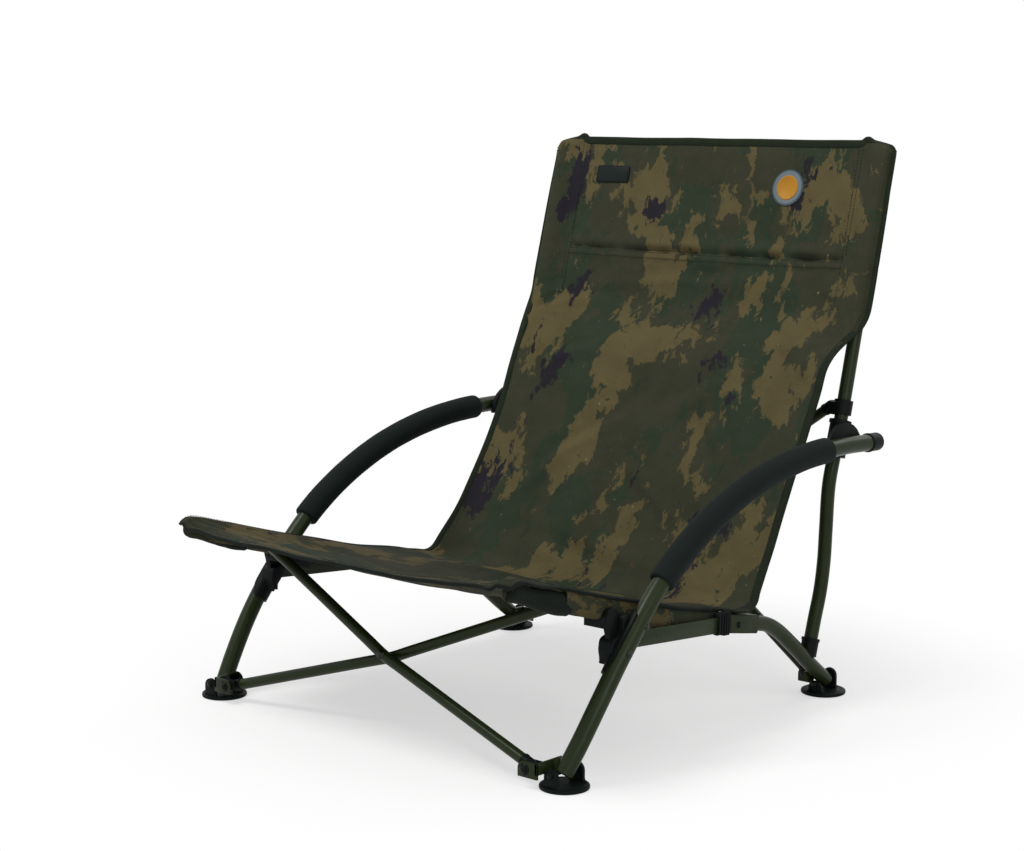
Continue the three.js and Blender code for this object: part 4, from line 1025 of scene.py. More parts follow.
def fastener_tree() -> Repeat:
    """A washer with a domed or six-sided head, put on each point."""
    made = Repeat("fasteners", {
        "Head Radius": Socket.FLOAT, "Head Height": Socket.FLOAT, "Washer Radius": Socket.FLOAT,
        "Washer Height": Socket.FLOAT, "Sides": Socket.INTEGER})
    tree, given = made.tree, made.given.outputs
    half = reckon(tree, "MULTIPLY", given["Head Height"], 0.5)
    lift = put(tree, "ShaderNodeCombineXYZ", {"Z": half}).outputs[0]
    head = put(tree, "GeometryNodeMeshCylinder", {
        "Vertices": given["Sides"], "Radius": given["Head Radius"], "Depth": given["Head Height"]})
    head_up = put(tree, "GeometryNodeTransform", {"Geometry": head.outputs["Mesh"], "Translation": lift})
    top = put(tree, "ShaderNodeCombineXYZ", {"Z": given["Head Height"]}).outputs[0]
    dome = put(tree, "GeometryNodeMeshUVSphere", {
        "Segments": 24, "Rings": 10, "Radius": given["Head Radius"]})
    dome_up = put(tree, "GeometryNodeTransform", {
        "Geometry": dome.outputs["Mesh"], "Translation": top, "Scale": (0.93, 0.93, 0.38)})
    low = reckon(tree, "MULTIPLY", given["Washer Height"], 0.5)
    washer = put(tree, "GeometryNodeMeshCylinder", {
        "Vertices": 28, "Radius": given["Washer Radius"], "Depth": given["Washer Height"]})
    washer_up = put(tree, "GeometryNodeTransform", {
        "Geometry": washer.outputs["Mesh"],
        "Translation": put(tree, "ShaderNodeCombineXYZ", {"Z": low}).outputs[0]})
    whole = put(tree, "GeometryNodeJoinGeometry")
    for part in (head_up, dome_up, washer_up):
        tree.links.new(part.outputs[0], whole.inputs[0])
    facing = put(tree, "GeometryNodeInputNamedAttribute", {"Name": "facing"}, data_type="FLOAT_VECTOR")
    size = put(tree, "GeometryNodeInputNamedAttribute", {"Name": "size"}, data_type="FLOAT")
    turn = put(tree, "FunctionNodeAlignRotationToVector", {"Vector": facing.outputs["Attribute"]}, axis="Z")
    placed = put(tree, "GeometryNodeInstanceOnPoints", {
        "Points": given["Geometry"], "Instance": whole.outputs[0], "Rotation": turn.outputs[0],
        "Scale": size.outputs["Attribute"]})
    made.close(placed.outputs[0])
    return made


def stitch_tree() -> Repeat:
    """Thread stitches of even length along each line of a mesh of edges."""
    made = Repeat("stitches", {
        "Stitch Length": Socket.FLOAT, "Stitch Pitch": Socket.FLOAT, "Thread Radius": Socket.FLOAT,
        "Seed": Socket.INTEGER})
    tree, given = made.tree, made.given.outputs
    curve = put(tree, "GeometryNodeMeshToCurve", {"Mesh": given["Geometry"]})
    even = put(
        tree, "GeometryNodeResampleCurve", {"Curve": curve.outputs[0], "Length": given["Stitch Pitch"]},
        mode="LENGTH")
    tangent = put(tree, "GeometryNodeInputTangent")
    turn = put(tree, "FunctionNodeAlignRotationToVector", {"Vector": tangent.outputs[0]}, axis="Z")
    bead = put(tree, "GeometryNodeMeshUVSphere", {"Segments": 6, "Rings": 5, "Radius": 1.0})
    half = reckon(tree, "MULTIPLY", given["Stitch Length"], 0.5)
    size = put(tree, "ShaderNodeCombineXYZ", {
        "X": given["Thread Radius"], "Y": given["Thread Radius"], "Z": half}).outputs[0]
    vary = put(tree, "FunctionNodeRandomValue", {
        "Min": (0.85, 0.85, 0.9), "Max": (1.15, 1.15, 1.05), "Seed": given["Seed"]},
        data_type="FLOAT_VECTOR")
    scale = put(tree, "ShaderNodeVectorMath", {0: size, 1: vary.outputs[0]}, operation="MULTIPLY").outputs[0]
    placed = put(tree, "GeometryNodeInstanceOnPoints", {
        "Points": even.outputs[0], "Instance": bead.outputs["Mesh"], "Rotation": turn.outputs[0],
        "Scale": scale})
    made.close(placed.outputs[0])
    return made


def rib_tree() -> Repeat:
    """Flat rounded ribs round a bar, one at each point."""
    made = Repeat("collar ribs", {
        "Rib Width": Socket.FLOAT, "Rib Height": Socket.FLOAT, "Rib Radius": Socket.FLOAT,
        "Corner": Socket.FLOAT})
    tree, given = made.tree, made.given.outputs
    loop = put(tree, "GeometryNodeCurvePrimitiveQuadrilateral", {
        "Width": given["Rib Width"], "Height": given["Rib Height"]})
    soft = put(
        tree, "GeometryNodeFilletCurve", {"Curve": loop.outputs[0], "Radius": given["Corner"], "Count": 6},
        mode="POLY")
    bead = put(
        tree, "GeometryNodeCurvePrimitiveCircle", {"Resolution": 12, "Radius": given["Rib Radius"]},
        mode="RADIUS")
    ring = put(tree, "GeometryNodeCurveToMesh", {
        "Curve": soft.outputs[0], "Profile Curve": bead.outputs["Curve"]})
    facing = put(tree, "GeometryNodeInputNamedAttribute", {"Name": "facing"}, data_type="FLOAT_VECTOR")
    turn = put(tree, "FunctionNodeAlignRotationToVector", {"Vector": facing.outputs["Attribute"]}, axis="Z")
    placed = put(tree, "GeometryNodeInstanceOnPoints", {
        "Points": given["Geometry"], "Instance": ring.outputs[0], "Rotation": turn.outputs[0]})
    made.close(placed.outputs[0])
    return made


@dataclass
class CrossedPair:
    """Two bent tubes riveted where they cross, each with black plugs at its ends.

    Attributes:
        name: of the pair.
        hub_x: distance of a low end from the chair's middle.
        hub: depth and height of the low ends.
        top_x: distance of a high end from the chair's middle.
        top: depth and height of the high ends.
        knee_height: height of the crossing.
        offset: how far each tube lies off the plane between them.
        bend_share: where a tube bends beside the crossing, as a share of its length.
    """

    name: str
    hub_x: float
    hub: tuple[float, float]
    top_x: float
    top: tuple[float, float]
    knee_height: float
    offset: float = 8.0
    bend_share: float = 0.06

    def ends(self, side: Side) -> tuple[np.ndarray, np.ndarray, np.ndarray, np.ndarray]:
        """The tube's low end, crossing, high end and outward direction."""
        lean = math.atan2(self.top[0] - self.hub[0], self.top[1] - self.hub[1])
        normal = np.array([0.0, math.cos(lean), -math.sin(lean)])
        share = (self.knee_height - self.hub[1]) / (self.top[1] - self.hub[1])
        middle = np.array([0.0, self.hub[0] + (self.top[0] - self.hub[0]) * share, self.knee_height])
        away = -side.value * normal
        low = np.array([side.value * self.hub_x, *self.hub]) + away * self.offset
        high = np.array([-side.value * self.top_x, *self.top]) + away * self.offset
        return low, middle + away * self.offset, high, away

    def build(self, fasteners: Repeat) -> None:
        """Makes both tubes, their end plugs and the rivet heads."""
        for side in Side:
            low, centre, high, away = self.ends(side)
            reach = np.linalg.norm(high - low) * self.bend_share
            line = Line([
                low, centre + unit(low - centre) * reach, centre,
                centre + unit(high - centre) * reach, high])
            body = f"{self.name}_cross_{side.label}"
            points = line.at(np.linspace(0, line.length, 90))
            emit(f"{self.name}_cross_tube_{side.label}", tube(points, CROSS_RADIUS, away), PAINT, body)
            plugs = []
            for start, way in ((0.0, 1), (line.length, -1)):
                direction = line.direction(start) * way
                origin = line.at(start)[0]
                dome = [
                    (BALL_RADIUS * math.sin(a), -BALL_RADIUS * math.cos(a))
                    for a in np.linspace(0, 1.45, 10)]
                plugs.append(turned([(0.0, -BALL_RADIUS)] + dome[1:] + [
                    (BALL_RADIUS, 9), (BALL_RADIUS + 0.5, 9.6), (BALL_RADIUS + 0.5, 11.6),
                    (CROSS_RADIUS, 12.2), (0.0, 12.2)], origin, direction))
            emit(f"{self.name}_cross_plugs_{side.label}", plugs[0].plus(plugs[1]), BLACK, body)
            head = fasteners.run(
                f"{self.name}_cross_rivet_{side.label}",
                marked_points([centre + away * (CROSS_RADIUS - 0.4)], [away], [1.0]),
                STEEL, **CROSS_RIVET.inputs)
            dress(head, STEEL, body, [f"{self.name}_cross_rivet_{side.label}"])
            bolts = fasteners.run(
                f"{self.name}_cross_bolts_{side.label}",
                marked_points(
                    [low + away * (BALL_RADIUS - 1.2), high + away * (BALL_RADIUS - 1.2)],
                    [away, away], [0.8, 0.7]),
                DARK_STEEL, **CROSS_BOLT.inputs)
            dress(bolts, DARK_STEEL, body)


@dataclass
class Foot:
    """A round pad with two ears and a pin, on which a leg can tilt, in millimetres.

    Attributes:
        name: of both feet of a pair.
        x: distance of its middle from the chair's middle.
        depth: place of its middle along the chair.
        pin_height: height of the pin.
        gaps: from its middle to the inner side of the front and the rear ear.
        tops: how far each ear's top lies over the pin.
        radius: of the pad.
        thickness: of the pad.
        ear_thickness: of the ears.
        ear_half: half the width of the ears.
        web_length: how far the small webs reach out from an ear.
        web_height: how far they reach up it.
        web_half: half their thickness.
    """

    name: str
    x: float
    depth: float
    pin_height: float
    gaps: tuple[float, float]
    tops: tuple[float, float]
    radius: float = 29.35
    thickness: float = 5.0
    ear_thickness: float = 4.6
    ear_half: float = 10.0
    web_length: float = 5.5
    web_height: float = 6.5
    web_half: float = 0.9

    def build(self) -> None:
        """Makes the pad with its ears, and the pin with its heads."""
        rim, top = self.radius, self.thickness
        profile = [
            (0.0, 0.9), (rim - 4.2, 0.9), (rim - 3.8, 0.0), (rim - 1.5, 0.0), (rim - 0.45, 0.45), (rim, 1.5),
            (rim, top - 1.8), (rim - 0.5, top - 0.55), (rim - 1.8, top), (rim - 4.6, top),
            (rim - 5.0, top - 0.6), (rim - 6.0, top - 0.6), (rim - 6.4, top), (rim - 12, top + 0.2),
            (0.0, top + 0.5)]
        pad = turned(profile, (self.x, self.depth, 0), (0, 0, 1), 72)
        ears = []
        for index, way in enumerate((-1, 1)):
            middle = self.pin_height + self.tops[index] - self.ear_half
            inner = self.depth + way * self.gaps[index]
            outline = [(self.x - self.ear_half - 2.4, top - 1), (self.x + self.ear_half + 2.4, top - 1)]
            outline += [(self.x + self.ear_half, top + 2.6)]
            outline += arc((self.x, max(middle, top + 3)), self.ear_half, 0, 180, 24) \
                + [(self.x - self.ear_half, top + 2.6)]
            flat = slab(outline, *sorted((inner, inner + way * self.ear_thickness)))
            ears.append(eased(flat.facing_front(), 0.7, 2))
            outer = inner + way * self.ear_thickness
            low, high = sorted((outer, inner + way * (self.ear_thickness + self.web_length)))
            if max(abs(high - self.depth), abs(low - self.depth)) >= self.radius - 3:
                continue
            for shift in (-0.55, 0.55):
                x = self.x + shift * self.ear_half * 1.3
                web = [(low, top - 0.5), (high, top - 0.5), (outer, top + self.web_height)]
                ears.append(eased(slab(web, x - self.web_half, x + self.web_half), 0.3, 1))
        shape = pad.plus(*ears)
        reach = (-self.gaps[0] - self.ear_thickness - 2.1, self.gaps[1] + self.ear_thickness + 2.1)
        length = reach[1] - reach[0]
        pin = turned([
            (0.0, -0.3), (2.6, 0.0), (4.0, 0.7), (4.4, 1.6), (4.4, 2.0), (2.6, 2.05), (2.6, length - 2.05),
            (4.4, length - 2.0), (4.4, length - 1.6), (4.0, length - 0.7), (2.6, length),
            (0.0, length + 0.3)], (self.x, self.depth + reach[0], self.pin_height), (0, 1, 0), 28)
        for side in Side:
            body = f"{self.name}_{side.label}"
            emit(body, shape.on(side), GREEN, body)
            emit(f"{self.name}_pin_{side.label}", pin.on(side), DARK_STEEL, body)


@dataclass
class SideFrame:
    """One side of the chair: front leg and arm in one, rear leg, back post, and their fittings.

    Attributes:
        arm: line of the front leg and arm.
        rear_leg: line of the rear leg.
        post: line of the back post.
        foam_start: where the foam grip starts along the arm.
        foam_length: of the grip.
        foam_wall: of the grip.
        cap_radius: of the cap on the arm's end.
        cap_cover: how far the cap covers the tube.
        cap_length: of the cap.
        ferrule_radius: of the ferrule at the post's foot.
        knuckle_half: half the knuckle's width.
        pin_reach: how far the knuckle's pin goes past it.
        lug_plate: thickness of the lugs' plates.
        front_hub: the front crossed tubes' low ends, as x and shares of depth and height.
        rear_hub: the same for the rear ones.
        front_ahead: how far the left and the right front lug's plate lies ahead of that end.
        rear_shift: how far each rear tube lies off the plane between them.
        web_wall: of the front and the rear lug's web.
    """

    arm: Line = field(default_factory=lambda: Line(
        [side_point(row, ARM_HALF_WIDTH - LEG_TOE * row[2]) for row in ARM_LINE]))
    rear_leg: Line = field(default_factory=lambda: side_line(REAR_LEG_LINE))
    post: Line = field(default_factory=lambda: side_line(POST_LINE))
    foam_start: float = 256.0
    foam_length: float = 363.0
    foam_wall: float = 5.5
    cap_radius: float = 12.6
    cap_cover: float = 13.0
    cap_length: float = 24.0
    ferrule_radius: float = 11.2
    knuckle_half: float = 12.5
    pin_reach: float = 2.0
    lug_plate: float = 3.0
    front_hub: tuple[float, float, float] = (264.0, -0.5268, 0.0319)
    rear_hub: tuple[float, float, float] = (253.85, 0.5176, 0.0306)
    front_ahead: tuple[float, float] = (15.6, 9.9)
    rear_shift: float = 8.0
    web_wall: tuple[float, float] = (4.2, 4.5)

    def front_face(self, side: Side) -> float:
        """Depth of the rear face of a front lug's plate, ahead of its own cross tube."""
        return side_point(self.front_hub[1:])[1] - self.front_ahead[0 if side is Side.LEFT else 1]

    def rear_face(self, side: Side) -> float:
        """Depth of the rear face of a rear lug's plate."""
        return side_point(self.rear_hub[1:])[1] - side.value * self.rear_shift - self.rear_shift

    def lug(self, hub_x: float, height: float, face: float, web_x: float, wall: float,
            leg_x: float, leg_y: float) -> Shape:
        """A pressed steel lug: a plate in front of a cross tube's end, and a web back to the leg.

        Args:
            hub_x: where the cross tube ends.
            height: of that end.
            face: depth of the plate's rear face.
            web_x: inner face of the web.
            wall: thickness of the web.
            leg_x: inner side of the leg.
            leg_y: depth of the leg.

        Returns:
            The lug.
        """
        outline = [(hub_x - 10.5, height - 10), (web_x + wall, height - 10), (web_x + wall, height + 9)]
        outline += arc((hub_x - 1.5, height), 9, 90, 180, 8)
        plate = slab(outline, face - self.lug_plate, face).facing_front()
        web = box((web_x, face - self.lug_plate, height - 5), (web_x + wall, leg_y + 9.5, height + 9))
        tie = box((web_x, leg_y - 9.5, height - 5), (leg_x + 5, leg_y + 9.5, height + 9))
        return eased(plate, 0.8).plus(eased(web, 0.8), eased(tie, 0.8))

    def build(self, fasteners: Repeat, ribs: Repeat) -> None:
        """Makes every piece of both sides."""
        self.build_tubes()
        self.build_grips()
        self.build_fittings(ribs)
        self.build_fasteners(fasteners)

    def build_tubes(self) -> None:
        """Makes the bent steel tubes with their lugs."""
        arm = tube(self.arm.at(np.linspace(0, self.arm.length, 240)), ARM_RADIUS, sides=40)
        leg = tube(self.rear_leg.at(np.linspace(0, self.rear_leg.length, 110)), RAIL_RADIUS, sides=36)
        post = tube(self.post.at(np.linspace(0, self.post.length - 5, 160)), POST_RADIUS, sides=36)
        end = self.rear_leg.at(0.0)[0]
        away = -self.rear_leg.direction(0.0)
        plug = turned([
            (0.0, -6), (RAIL_RADIUS - 1.4, -6), (RAIL_RADIUS - 1.4, 0.3), (RAIL_RADIUS - 2.2, 1.0),
            (0.0, 1.3)], end, away)
        front, rear = side_point(self.front_hub[1:]), side_point(self.rear_hub[1:])
        foot = self.arm.at(0.0)[0]
        front_wall, rear_wall = self.web_wall
        for side in Side:
            lug = self.lug(self.front_hub[0], front[2], self.front_face(side), 279.2, front_wall,
                           foot[0] - ARM_RADIUS, foot[1] + 5)
            body = f"{side.label}_frame"
            emit(f"arm_tube_{side.label}", arm.plus(lug).on(side), PAINT, body)
            face, web_x = self.rear_face(side), FRAME_HALF_WIDTH - RAIL_RADIUS - rear_wall
            leg_y = rear[1] - side.value * self.rear_shift - 17
            lug = self.lug(self.rear_hub[0], rear[2], face, web_x, rear_wall, web_x, leg_y)
            emit(f"rear_leg_{side.label}", leg.plus(lug).on(side), PAINT, body)
            emit(f"back_post_{side.label}", post.on(side), PAINT, body)
            emit(f"rear_leg_plug_{side.label}", plug.on(side), BLACK, body)

    def build_grips(self) -> None:
        """Makes the foam grips and the push-on caps."""
        start, stop = self.foam_start, self.foam_start + self.foam_length
        reach = np.concatenate([
            start + np.array([0, 0.3, 0.9, 1.8, 3.0]), np.linspace(start + 5, stop - 5, 150),
            stop - np.array([3.0, 1.8, 0.9, 0.3, 0])])
        outer = ARM_RADIUS + self.foam_wall
        rim = np.array([ARM_RADIUS + 0.2, outer - 2.4, outer - 1.1, outer - 0.4, outer - 0.1])
        wave = np.array([0.22 * noise.noise(Vector((r * 0.03, 0.4, 0.9))) for r in reach[5:-5]])
        radii = np.concatenate([rim, outer + wave, rim[::-1]])
        foam = tube(self.arm.at(reach), radii, sides=48)
        end, way = self.arm.at(self.arm.length)[0], self.arm.direction(self.arm.length - 0.6)
        r, cover, nose = self.cap_radius, self.cap_cover, self.cap_length - self.cap_cover
        profile = [
            (0.0, -cover), (r - 0.6, -cover), (r, -cover + 0.6), (r, -cover + 2.6), (r - 0.7, -cover + 3.2),
            (r - 0.7, nose - 2.4), (r - 1.0, nose - 1.2), (r - 1.9, nose - 0.3), (r - 3.0, nose), (3.6, nose),
            (3.2, nose - 0.4), (3.0, nose - 1.8), (0.0, nose - 1.8)]
        cap = turned(profile, end, way, 48)
        for side in Side:
            body = f"{side.label}_frame"
            grip = emit(f"arm_foam_{side.label}", foam.on(side), FOAM, body)
            emit(f"arm_cap_{side.label}", cap.on(side), BLACK, body)

    def build_fittings(self, ribs: Repeat) -> None:
        """Makes the moulded fittings, from the solids with their edges rounded."""
        base, way = self.post.at(0.0)[0], self.post.direction(0.5)
        r = self.ferrule_radius
        ferrule = turned([
            (0.0, -7), (r, -7), (r, 12.6), (r + 0.9, 13.2), (r + 0.9, 16.6), (r + 0.4, 17.0),
            (POST_RADIUS - 0.2, 17.2), (0.0, 17.2)], base, way)
        knee = side_point(KNEE)
        low = FRAME_HALF_WIDTH - self.knuckle_half - GAP - self.pin_reach
        high = ARM_HALF_WIDTH - ARM_RADIUS + self.pin_reach
        length = high - low
        pin = turned([
            (0.0, -0.6), (2.4, -0.4), (3.6, 0.4), (4.0, 1.4), (4.0, 2.0), (3.0, 2.05), (3.0, length - 2.05),
            (4.0, length - 2.0), (4.0, length - 1.4), (3.6, length - 0.4), (2.4, length + 0.4),
            (0.0, length + 0.6)], (low, knee[1], knee[2]), (1, 0, 0), 32)
        moulded = (("arm_bracket", BLACK, 1.0), ("knuckle", OLIVE, 1.1), ("saddle", BLACK, 0.9))
        core = self.bar_block(-13.0, 11.0, 4.0, 12.2)
        middle, way_along = self.bar_line()
        rib_count = 5
        places = [middle + way_along * d for d in np.linspace(-11.5, 9.5, rib_count)]
        shell, cheek = self.saddle_shell(), self.saddle_cheek()
        for side in Side:
            body = f"{side.label}_frame"
            emit(f"post_ferrule_{side.label}", ferrule.on(side), BLACK, body)
            emit(f"knuckle_pin_{side.label}", pin.on(side), DARK_STEEL, body)
            for name, finish, width in moulded:
                node = f"{name}_{side.label}"
                emit(node, eased(solid_of(node), width, 3), finish, body)
            collar = f"bar_collar_{side.label}"
            emit(collar, eased(solid_of(collar), 0.5, 3).plus(core.on(side)), BLACK, body)
            mirror = np.array([side.value, 1.0, 1.0])
            ring = ribs.run(
                f"collar_ribs_{side.label}",
                marked_points([p * mirror for p in places], [way_along] * rib_count, [1.0] * rib_count),
                BLACK, Rib_Width=8.6 * MM, Rib_Height=25.4 * MM, Rib_Radius=1.35 * MM, Corner=2.6 * MM)
            dress(ring, BLACK, body)
            emit(f"saddle_shell_{side.label}", shell.on(side), BLACK, body)
            emit(f"saddle_cheek_{side.label}", cheek.on(side), BLACK, body)
            bar = f"link_bar_{side.label}"
            emit(bar, eased(solid_of(bar), 0.9, 3), PAINT, body)
            slider = f"post_slider_{side.label}"
            emit(slider, eased(solid_of(slider), 0.8, 3), BLACK, slider)
            eye = f"front_eye_{side.label}"
            emit(eye, eased(solid_of(eye), 0.6, 2), BLACK, eye)

    def bar_line(self) -> tuple[np.ndarray, np.ndarray]:
        """A point on the link bar's middle line, at its collar, and the bar's direction."""
        return np.array(BAR_MIDDLE), unit(np.array([0.0, 1.0, BAR_SLOPE]))

    def bar_block(self, low: float, high: float, half_wide: float, half_high: float) -> Shape:
        """A block with rounded edges round the link bar, between two distances along it."""
        middle, way = self.bar_line()
        up = np.array([0.0, -way[2], way[1]])
        corners = [(low, -half_high), (high, -half_high), (high, half_high), (low, half_high)]
        outline = [tuple((middle + way * a + up * b)[1:]) for a, b in corners]
        return eased(slab(outline, middle[0] - half_wide, middle[0] + half_wide), 1.2, 3)

    def saddle_shell(self) -> Shape:
        """The saddle's thin half sleeve, which hugs the inner side of the leg and tapers downwards."""
        low, high = self.arm.reach_at(2, 118.0), self.arm.reach_at(2, 181.0)
        rows = []
        for share in np.linspace(0, 1, 40):
            distance = low + (high - low) * share
            place, along = self.arm.at(distance)[0], self.arm.direction(distance)
            across = unit(np.array([1.0, 0, 0]) - along[0] * along)
            ahead = np.cross(along, across)
            open_by = 100 * float(ramp(share, -0.4, 0.25)) * float(1 - 0.25 * ramp(share, 0.93, 1.0))
            turn = np.radians(180 + np.linspace(-open_by, open_by, 33))
            reach = ARM_RADIUS + 1.5 + 0.5 * float(ramp(share, 0.0, 0.3))
            rows.append([place + across * reach * math.cos(t) + ahead * reach * math.sin(t) for t in turn])
        return layered(np.array(rows), np.zeros((40, 33, 2)), 2.4)

    def saddle_cheek(self) -> Shape:
        """The saddle's cheek in front of the leg, with its two lobes."""
        low, high = self.arm.reach_at(2, 128.0), self.arm.reach_at(2, 172.0)
        shares = np.linspace(0, 1, 60)
        reach = low + (high - low) * shares
        places, ways = self.arm.at(reach), np.array([self.arm.direction(float(d)) for d in reach])
        ahead = np.stack([-ways[:, 2], ways[:, 1]], axis=1) * np.sign(ways[:, 2:])
        width = 2.0 + 9.0 * ramp(shares, 0, 0.22) + 11.0 * np.exp(-((shares - 0.9) / 0.16) ** 2) \
            + 8.0 * np.exp(-((shares - 0.38) / 0.17) ** 2)
        front = places[:, 1:] + ahead * width[:, None]
        outline = [tuple(p) for p in front] + [tuple(p) for p in places[::-1, 1:]]
        middle = float(places[:, 0].mean())
        return eased(slab(outline, middle - 26.0, middle - 4.0), 1.6, 3)

    def build_fasteners(self, fasteners: Repeat) -> None:
        """Puts rivets on the legs and bolts on the lugs."""
        front, rear = side_point(self.front_hub[1:]), side_point(self.rear_hub[1:])
        rivets = [
            side_point(shares, ARM_HALF_WIDTH + ARM_RADIUS - 0.6)
            for shares in ((-0.281, 0.2361), (-0.3383, 0.1986))]
        for side in Side:
            body = f"{side.label}_frame"
            mirror = np.array([side.value, 1.0, 1.0])
            heads = fasteners.run(
                f"leg_rivets_{side.label}",
                marked_points([p * mirror for p in rivets], [np.array([side.value, 0, 0])] * 2, [1, 1]),
                STEEL, **LEG_RIVET.inputs)
            dress(heads, STEEL, body, [f"leg_rivet_upper_{side.label}", f"leg_rivet_lower_{side.label}"])
            face, back = self.front_face(side) - self.lug_plate, self.rear_face(side) - self.lug_plate
            places = [
                np.array([self.front_hub[0], face + 0.2, front[2]]),
                np.array([self.rear_hub[0], back + 0.2, rear[2]])]
            bolts = fasteners.run(
                f"lug_bolts_{side.label}",
                marked_points([p * mirror for p in places], [np.array([0, -1.0, 0])] * 2, [1, 1]),
                DARK_STEEL, **LUG_BOLT.inputs)
            dress(bolts, DARK_STEEL, body)


class Panel(Enum):
    """The two panels of the cloth."""

    SEAT = "seat"
    BACK = "back"


@dataclass
class ClothPanel:
    """A panel of cloth between two edges: it sags, folds and wrinkles, and is bound along its rim.

    Attributes:
        panel: which one it is.
        table: its edge, as shares of depth and height, half width, sag and folds.
        sag: how deep it sags in the middle.
        rows: of points along it.
        columns: of points across it.
        fold_depth: of the folds that run along it.
        folds: how many of them.
        thickness: of the cloth as drawn.
        seam_height: height of the seam across the back.
        cut_from: where it starts on the flat print, in metres.
        rests_from: how far from the middle the seat starts to rest on its rails.
    """

    panel: Panel
    table: Sequence[Sequence[float]]
    sag: float
    rows: int
    columns: int = 180
    fold_depth: float = 4.5
    folds: int = 3
    thickness: float = 2.2
    seam_height: float = 557.0
    cut_from: float = 0.03
    rests_from: float = 268.0

    def __post_init__(self) -> None:
        """Samples the edge, and how far the post runs behind it."""
        self.edge = Line([side_point(row, CLOTH_HALF_WIDTH * row[2]) for row in self.table])
        self.shares = Line([(row[3], row[4], 0) for row in self.table])
        self.length = self.edge.length
        self.bulge = Line([(x, ahead, 0) for x, ahead in SLEEVE_BULGE]).samples
        post = side_line(POST_LINE).samples
        top = self.edge.samples
        lean = (post[-1, 1] - post[-40, 1]) / (post[-1, 2] - post[-40, 2])
        behind = np.interp(top[:, 2], post[:, 2], post[:, 1]) + np.maximum(top[:, 2] - post[-1, 2], 0) * lean
        self.post_gap = (behind - top[:, 1]) / math.sqrt(1 + lean * lean)

    def station(self, distance: float) -> tuple[np.ndarray, np.ndarray, np.ndarray]:
        """One place of the edge, the edge's direction there, and the way out at the cloth's back."""
        tangent = self.edge.direction(float(np.clip(distance, 1.0, self.length - 1.0)))
        along = unit(np.array([0.0, tangent[1], tangent[2]]))
        return self.edge.at(distance)[0], along, np.array([0.0, along[2], -along[1]])

    def sleeve_share(self, distance: float) -> float:
        """How open the sleeve round the post is: 1, and 0 at its closed top."""
        return math.sqrt(1 - (1 - float(np.clip((self.length - distance) / 13, 0, 1))) ** 2)

    def held(self, x: np.ndarray, distance: float) -> tuple[np.ndarray, np.ndarray, np.ndarray]:
        """How the cloth is held along its border.

        Args:
            x: distances from the chair's middle.
            distance: along the edge.

        Returns:
            The share of the wrinkles that is left, and how far the cloth is moved ahead and down its length.
        """
        reach = np.abs(x)
        if self.panel is Panel.SEAT:
            loose = np.full(len(reach), float(ramp(self.length - distance, 0, 28)))
            loose *= 1 - 0.7 * ramp(reach, 255, 272)
            lip = sum((drop * ramp(reach, low, high) for drop, low, high in LIP_STEPS), start=3.0) \
                * math.exp(-distance / 9)
            flank = 3.5 * ramp(reach, 279, 290) * float(1 - ramp(distance, 50, 95))
            corner = 15.0 * np.clip((reach - 262) / 28, 0, 1.1) ** 2.2 * math.exp(-distance / 20)
            return loose, -lip - flank, -corner
        here = float(np.interp(distance, self.edge.reach, self.edge.samples[:, 2]))
        inside = float(ramp(here, *WRAP_RISE))
        loose = float(ramp(distance, 0, 28)) \
            * (1 - 0.85 * ramp(reach, 222, 262) * float(ramp(here, *TAUT_RISE)))
        shape = np.interp(reach, self.bulge[:, 0], self.bulge[:, 1]) * self.sleeve_share(distance)
        gap = shape - float(np.interp(distance, self.edge.reach, self.post_gap))
        ahead = 0.5 * (gap + np.sqrt(gap ** 2 + 2.0)) * inside
        slope = 9.0 * np.clip((reach - 248) / 44, 0, 1.2) ** 1.4 + 5.0 * np.clip((reach - 283) / 9, 0, 1) ** 2
        knob = 2.4 * np.exp(-((reach - 247) / 7) ** 2) * float(ramp(distance, self.length - 26, self.length))
        return loose, ahead, slope * float(ramp(distance, self.length - 95, self.length)) - knob

    def grid(self, distances: np.ndarray, spans: np.ndarray) -> np.ndarray:
        """Points of the panel.

        Args:
            distances: how far along the edge each row is.
            spans: places across, from -1 at the right to 1 at the left.

        Returns:
            Rows and columns of points.
        """
        rows = []
        for distance in distances:
            place, along, lean = self.station(distance)
            index = np.interp(distance, self.edge.reach, np.linspace(0, 1, len(self.edge.reach)))
            sag_share, fold_share, _ = self.shares.at_share(float(index))
            x = spans * place[0]
            free, flatness = spans, 1.5
            if self.panel is Panel.SEAT:
                free, flatness = np.clip(x / self.rests_from, -1, 1), 0.5 + distance / self.length
            drop = self.sag * sag_share * np.maximum(1 - free ** 2, 0) ** flatness
            loose, ahead, lower = self.held(x, distance)
            drop = drop + self.fold_depth * fold_share * (1 - spans ** 4) \
                * np.cos(math.pi * self.folds * spans)
            drop = drop + loose * np.array([self.wrinkle(a, distance, s) for a, s in zip(x, spans)])
            row = np.stack([x, np.full_like(spans, place[1]), np.full_like(spans, place[2])], axis=1)
            rows.append(row + (drop - ahead)[:, None] * lean - lower[:, None] * along)
        return np.array(rows)

    def beside_post(self, distance: float, x: np.ndarray, rear: np.ndarray) -> np.ndarray:
        """Points at x and at distances behind the post's middle, level with one place of the edge."""
        place, along, lean = self.station(distance)
        _, _, lower = self.held(x, distance)
        row = np.stack([x, np.full_like(x, place[1]), np.full_like(x, place[2])], axis=1)
        gap = float(np.interp(distance, self.edge.reach, self.post_gap))
        return row + (gap + rear)[:, None] * lean - lower[:, None] * along

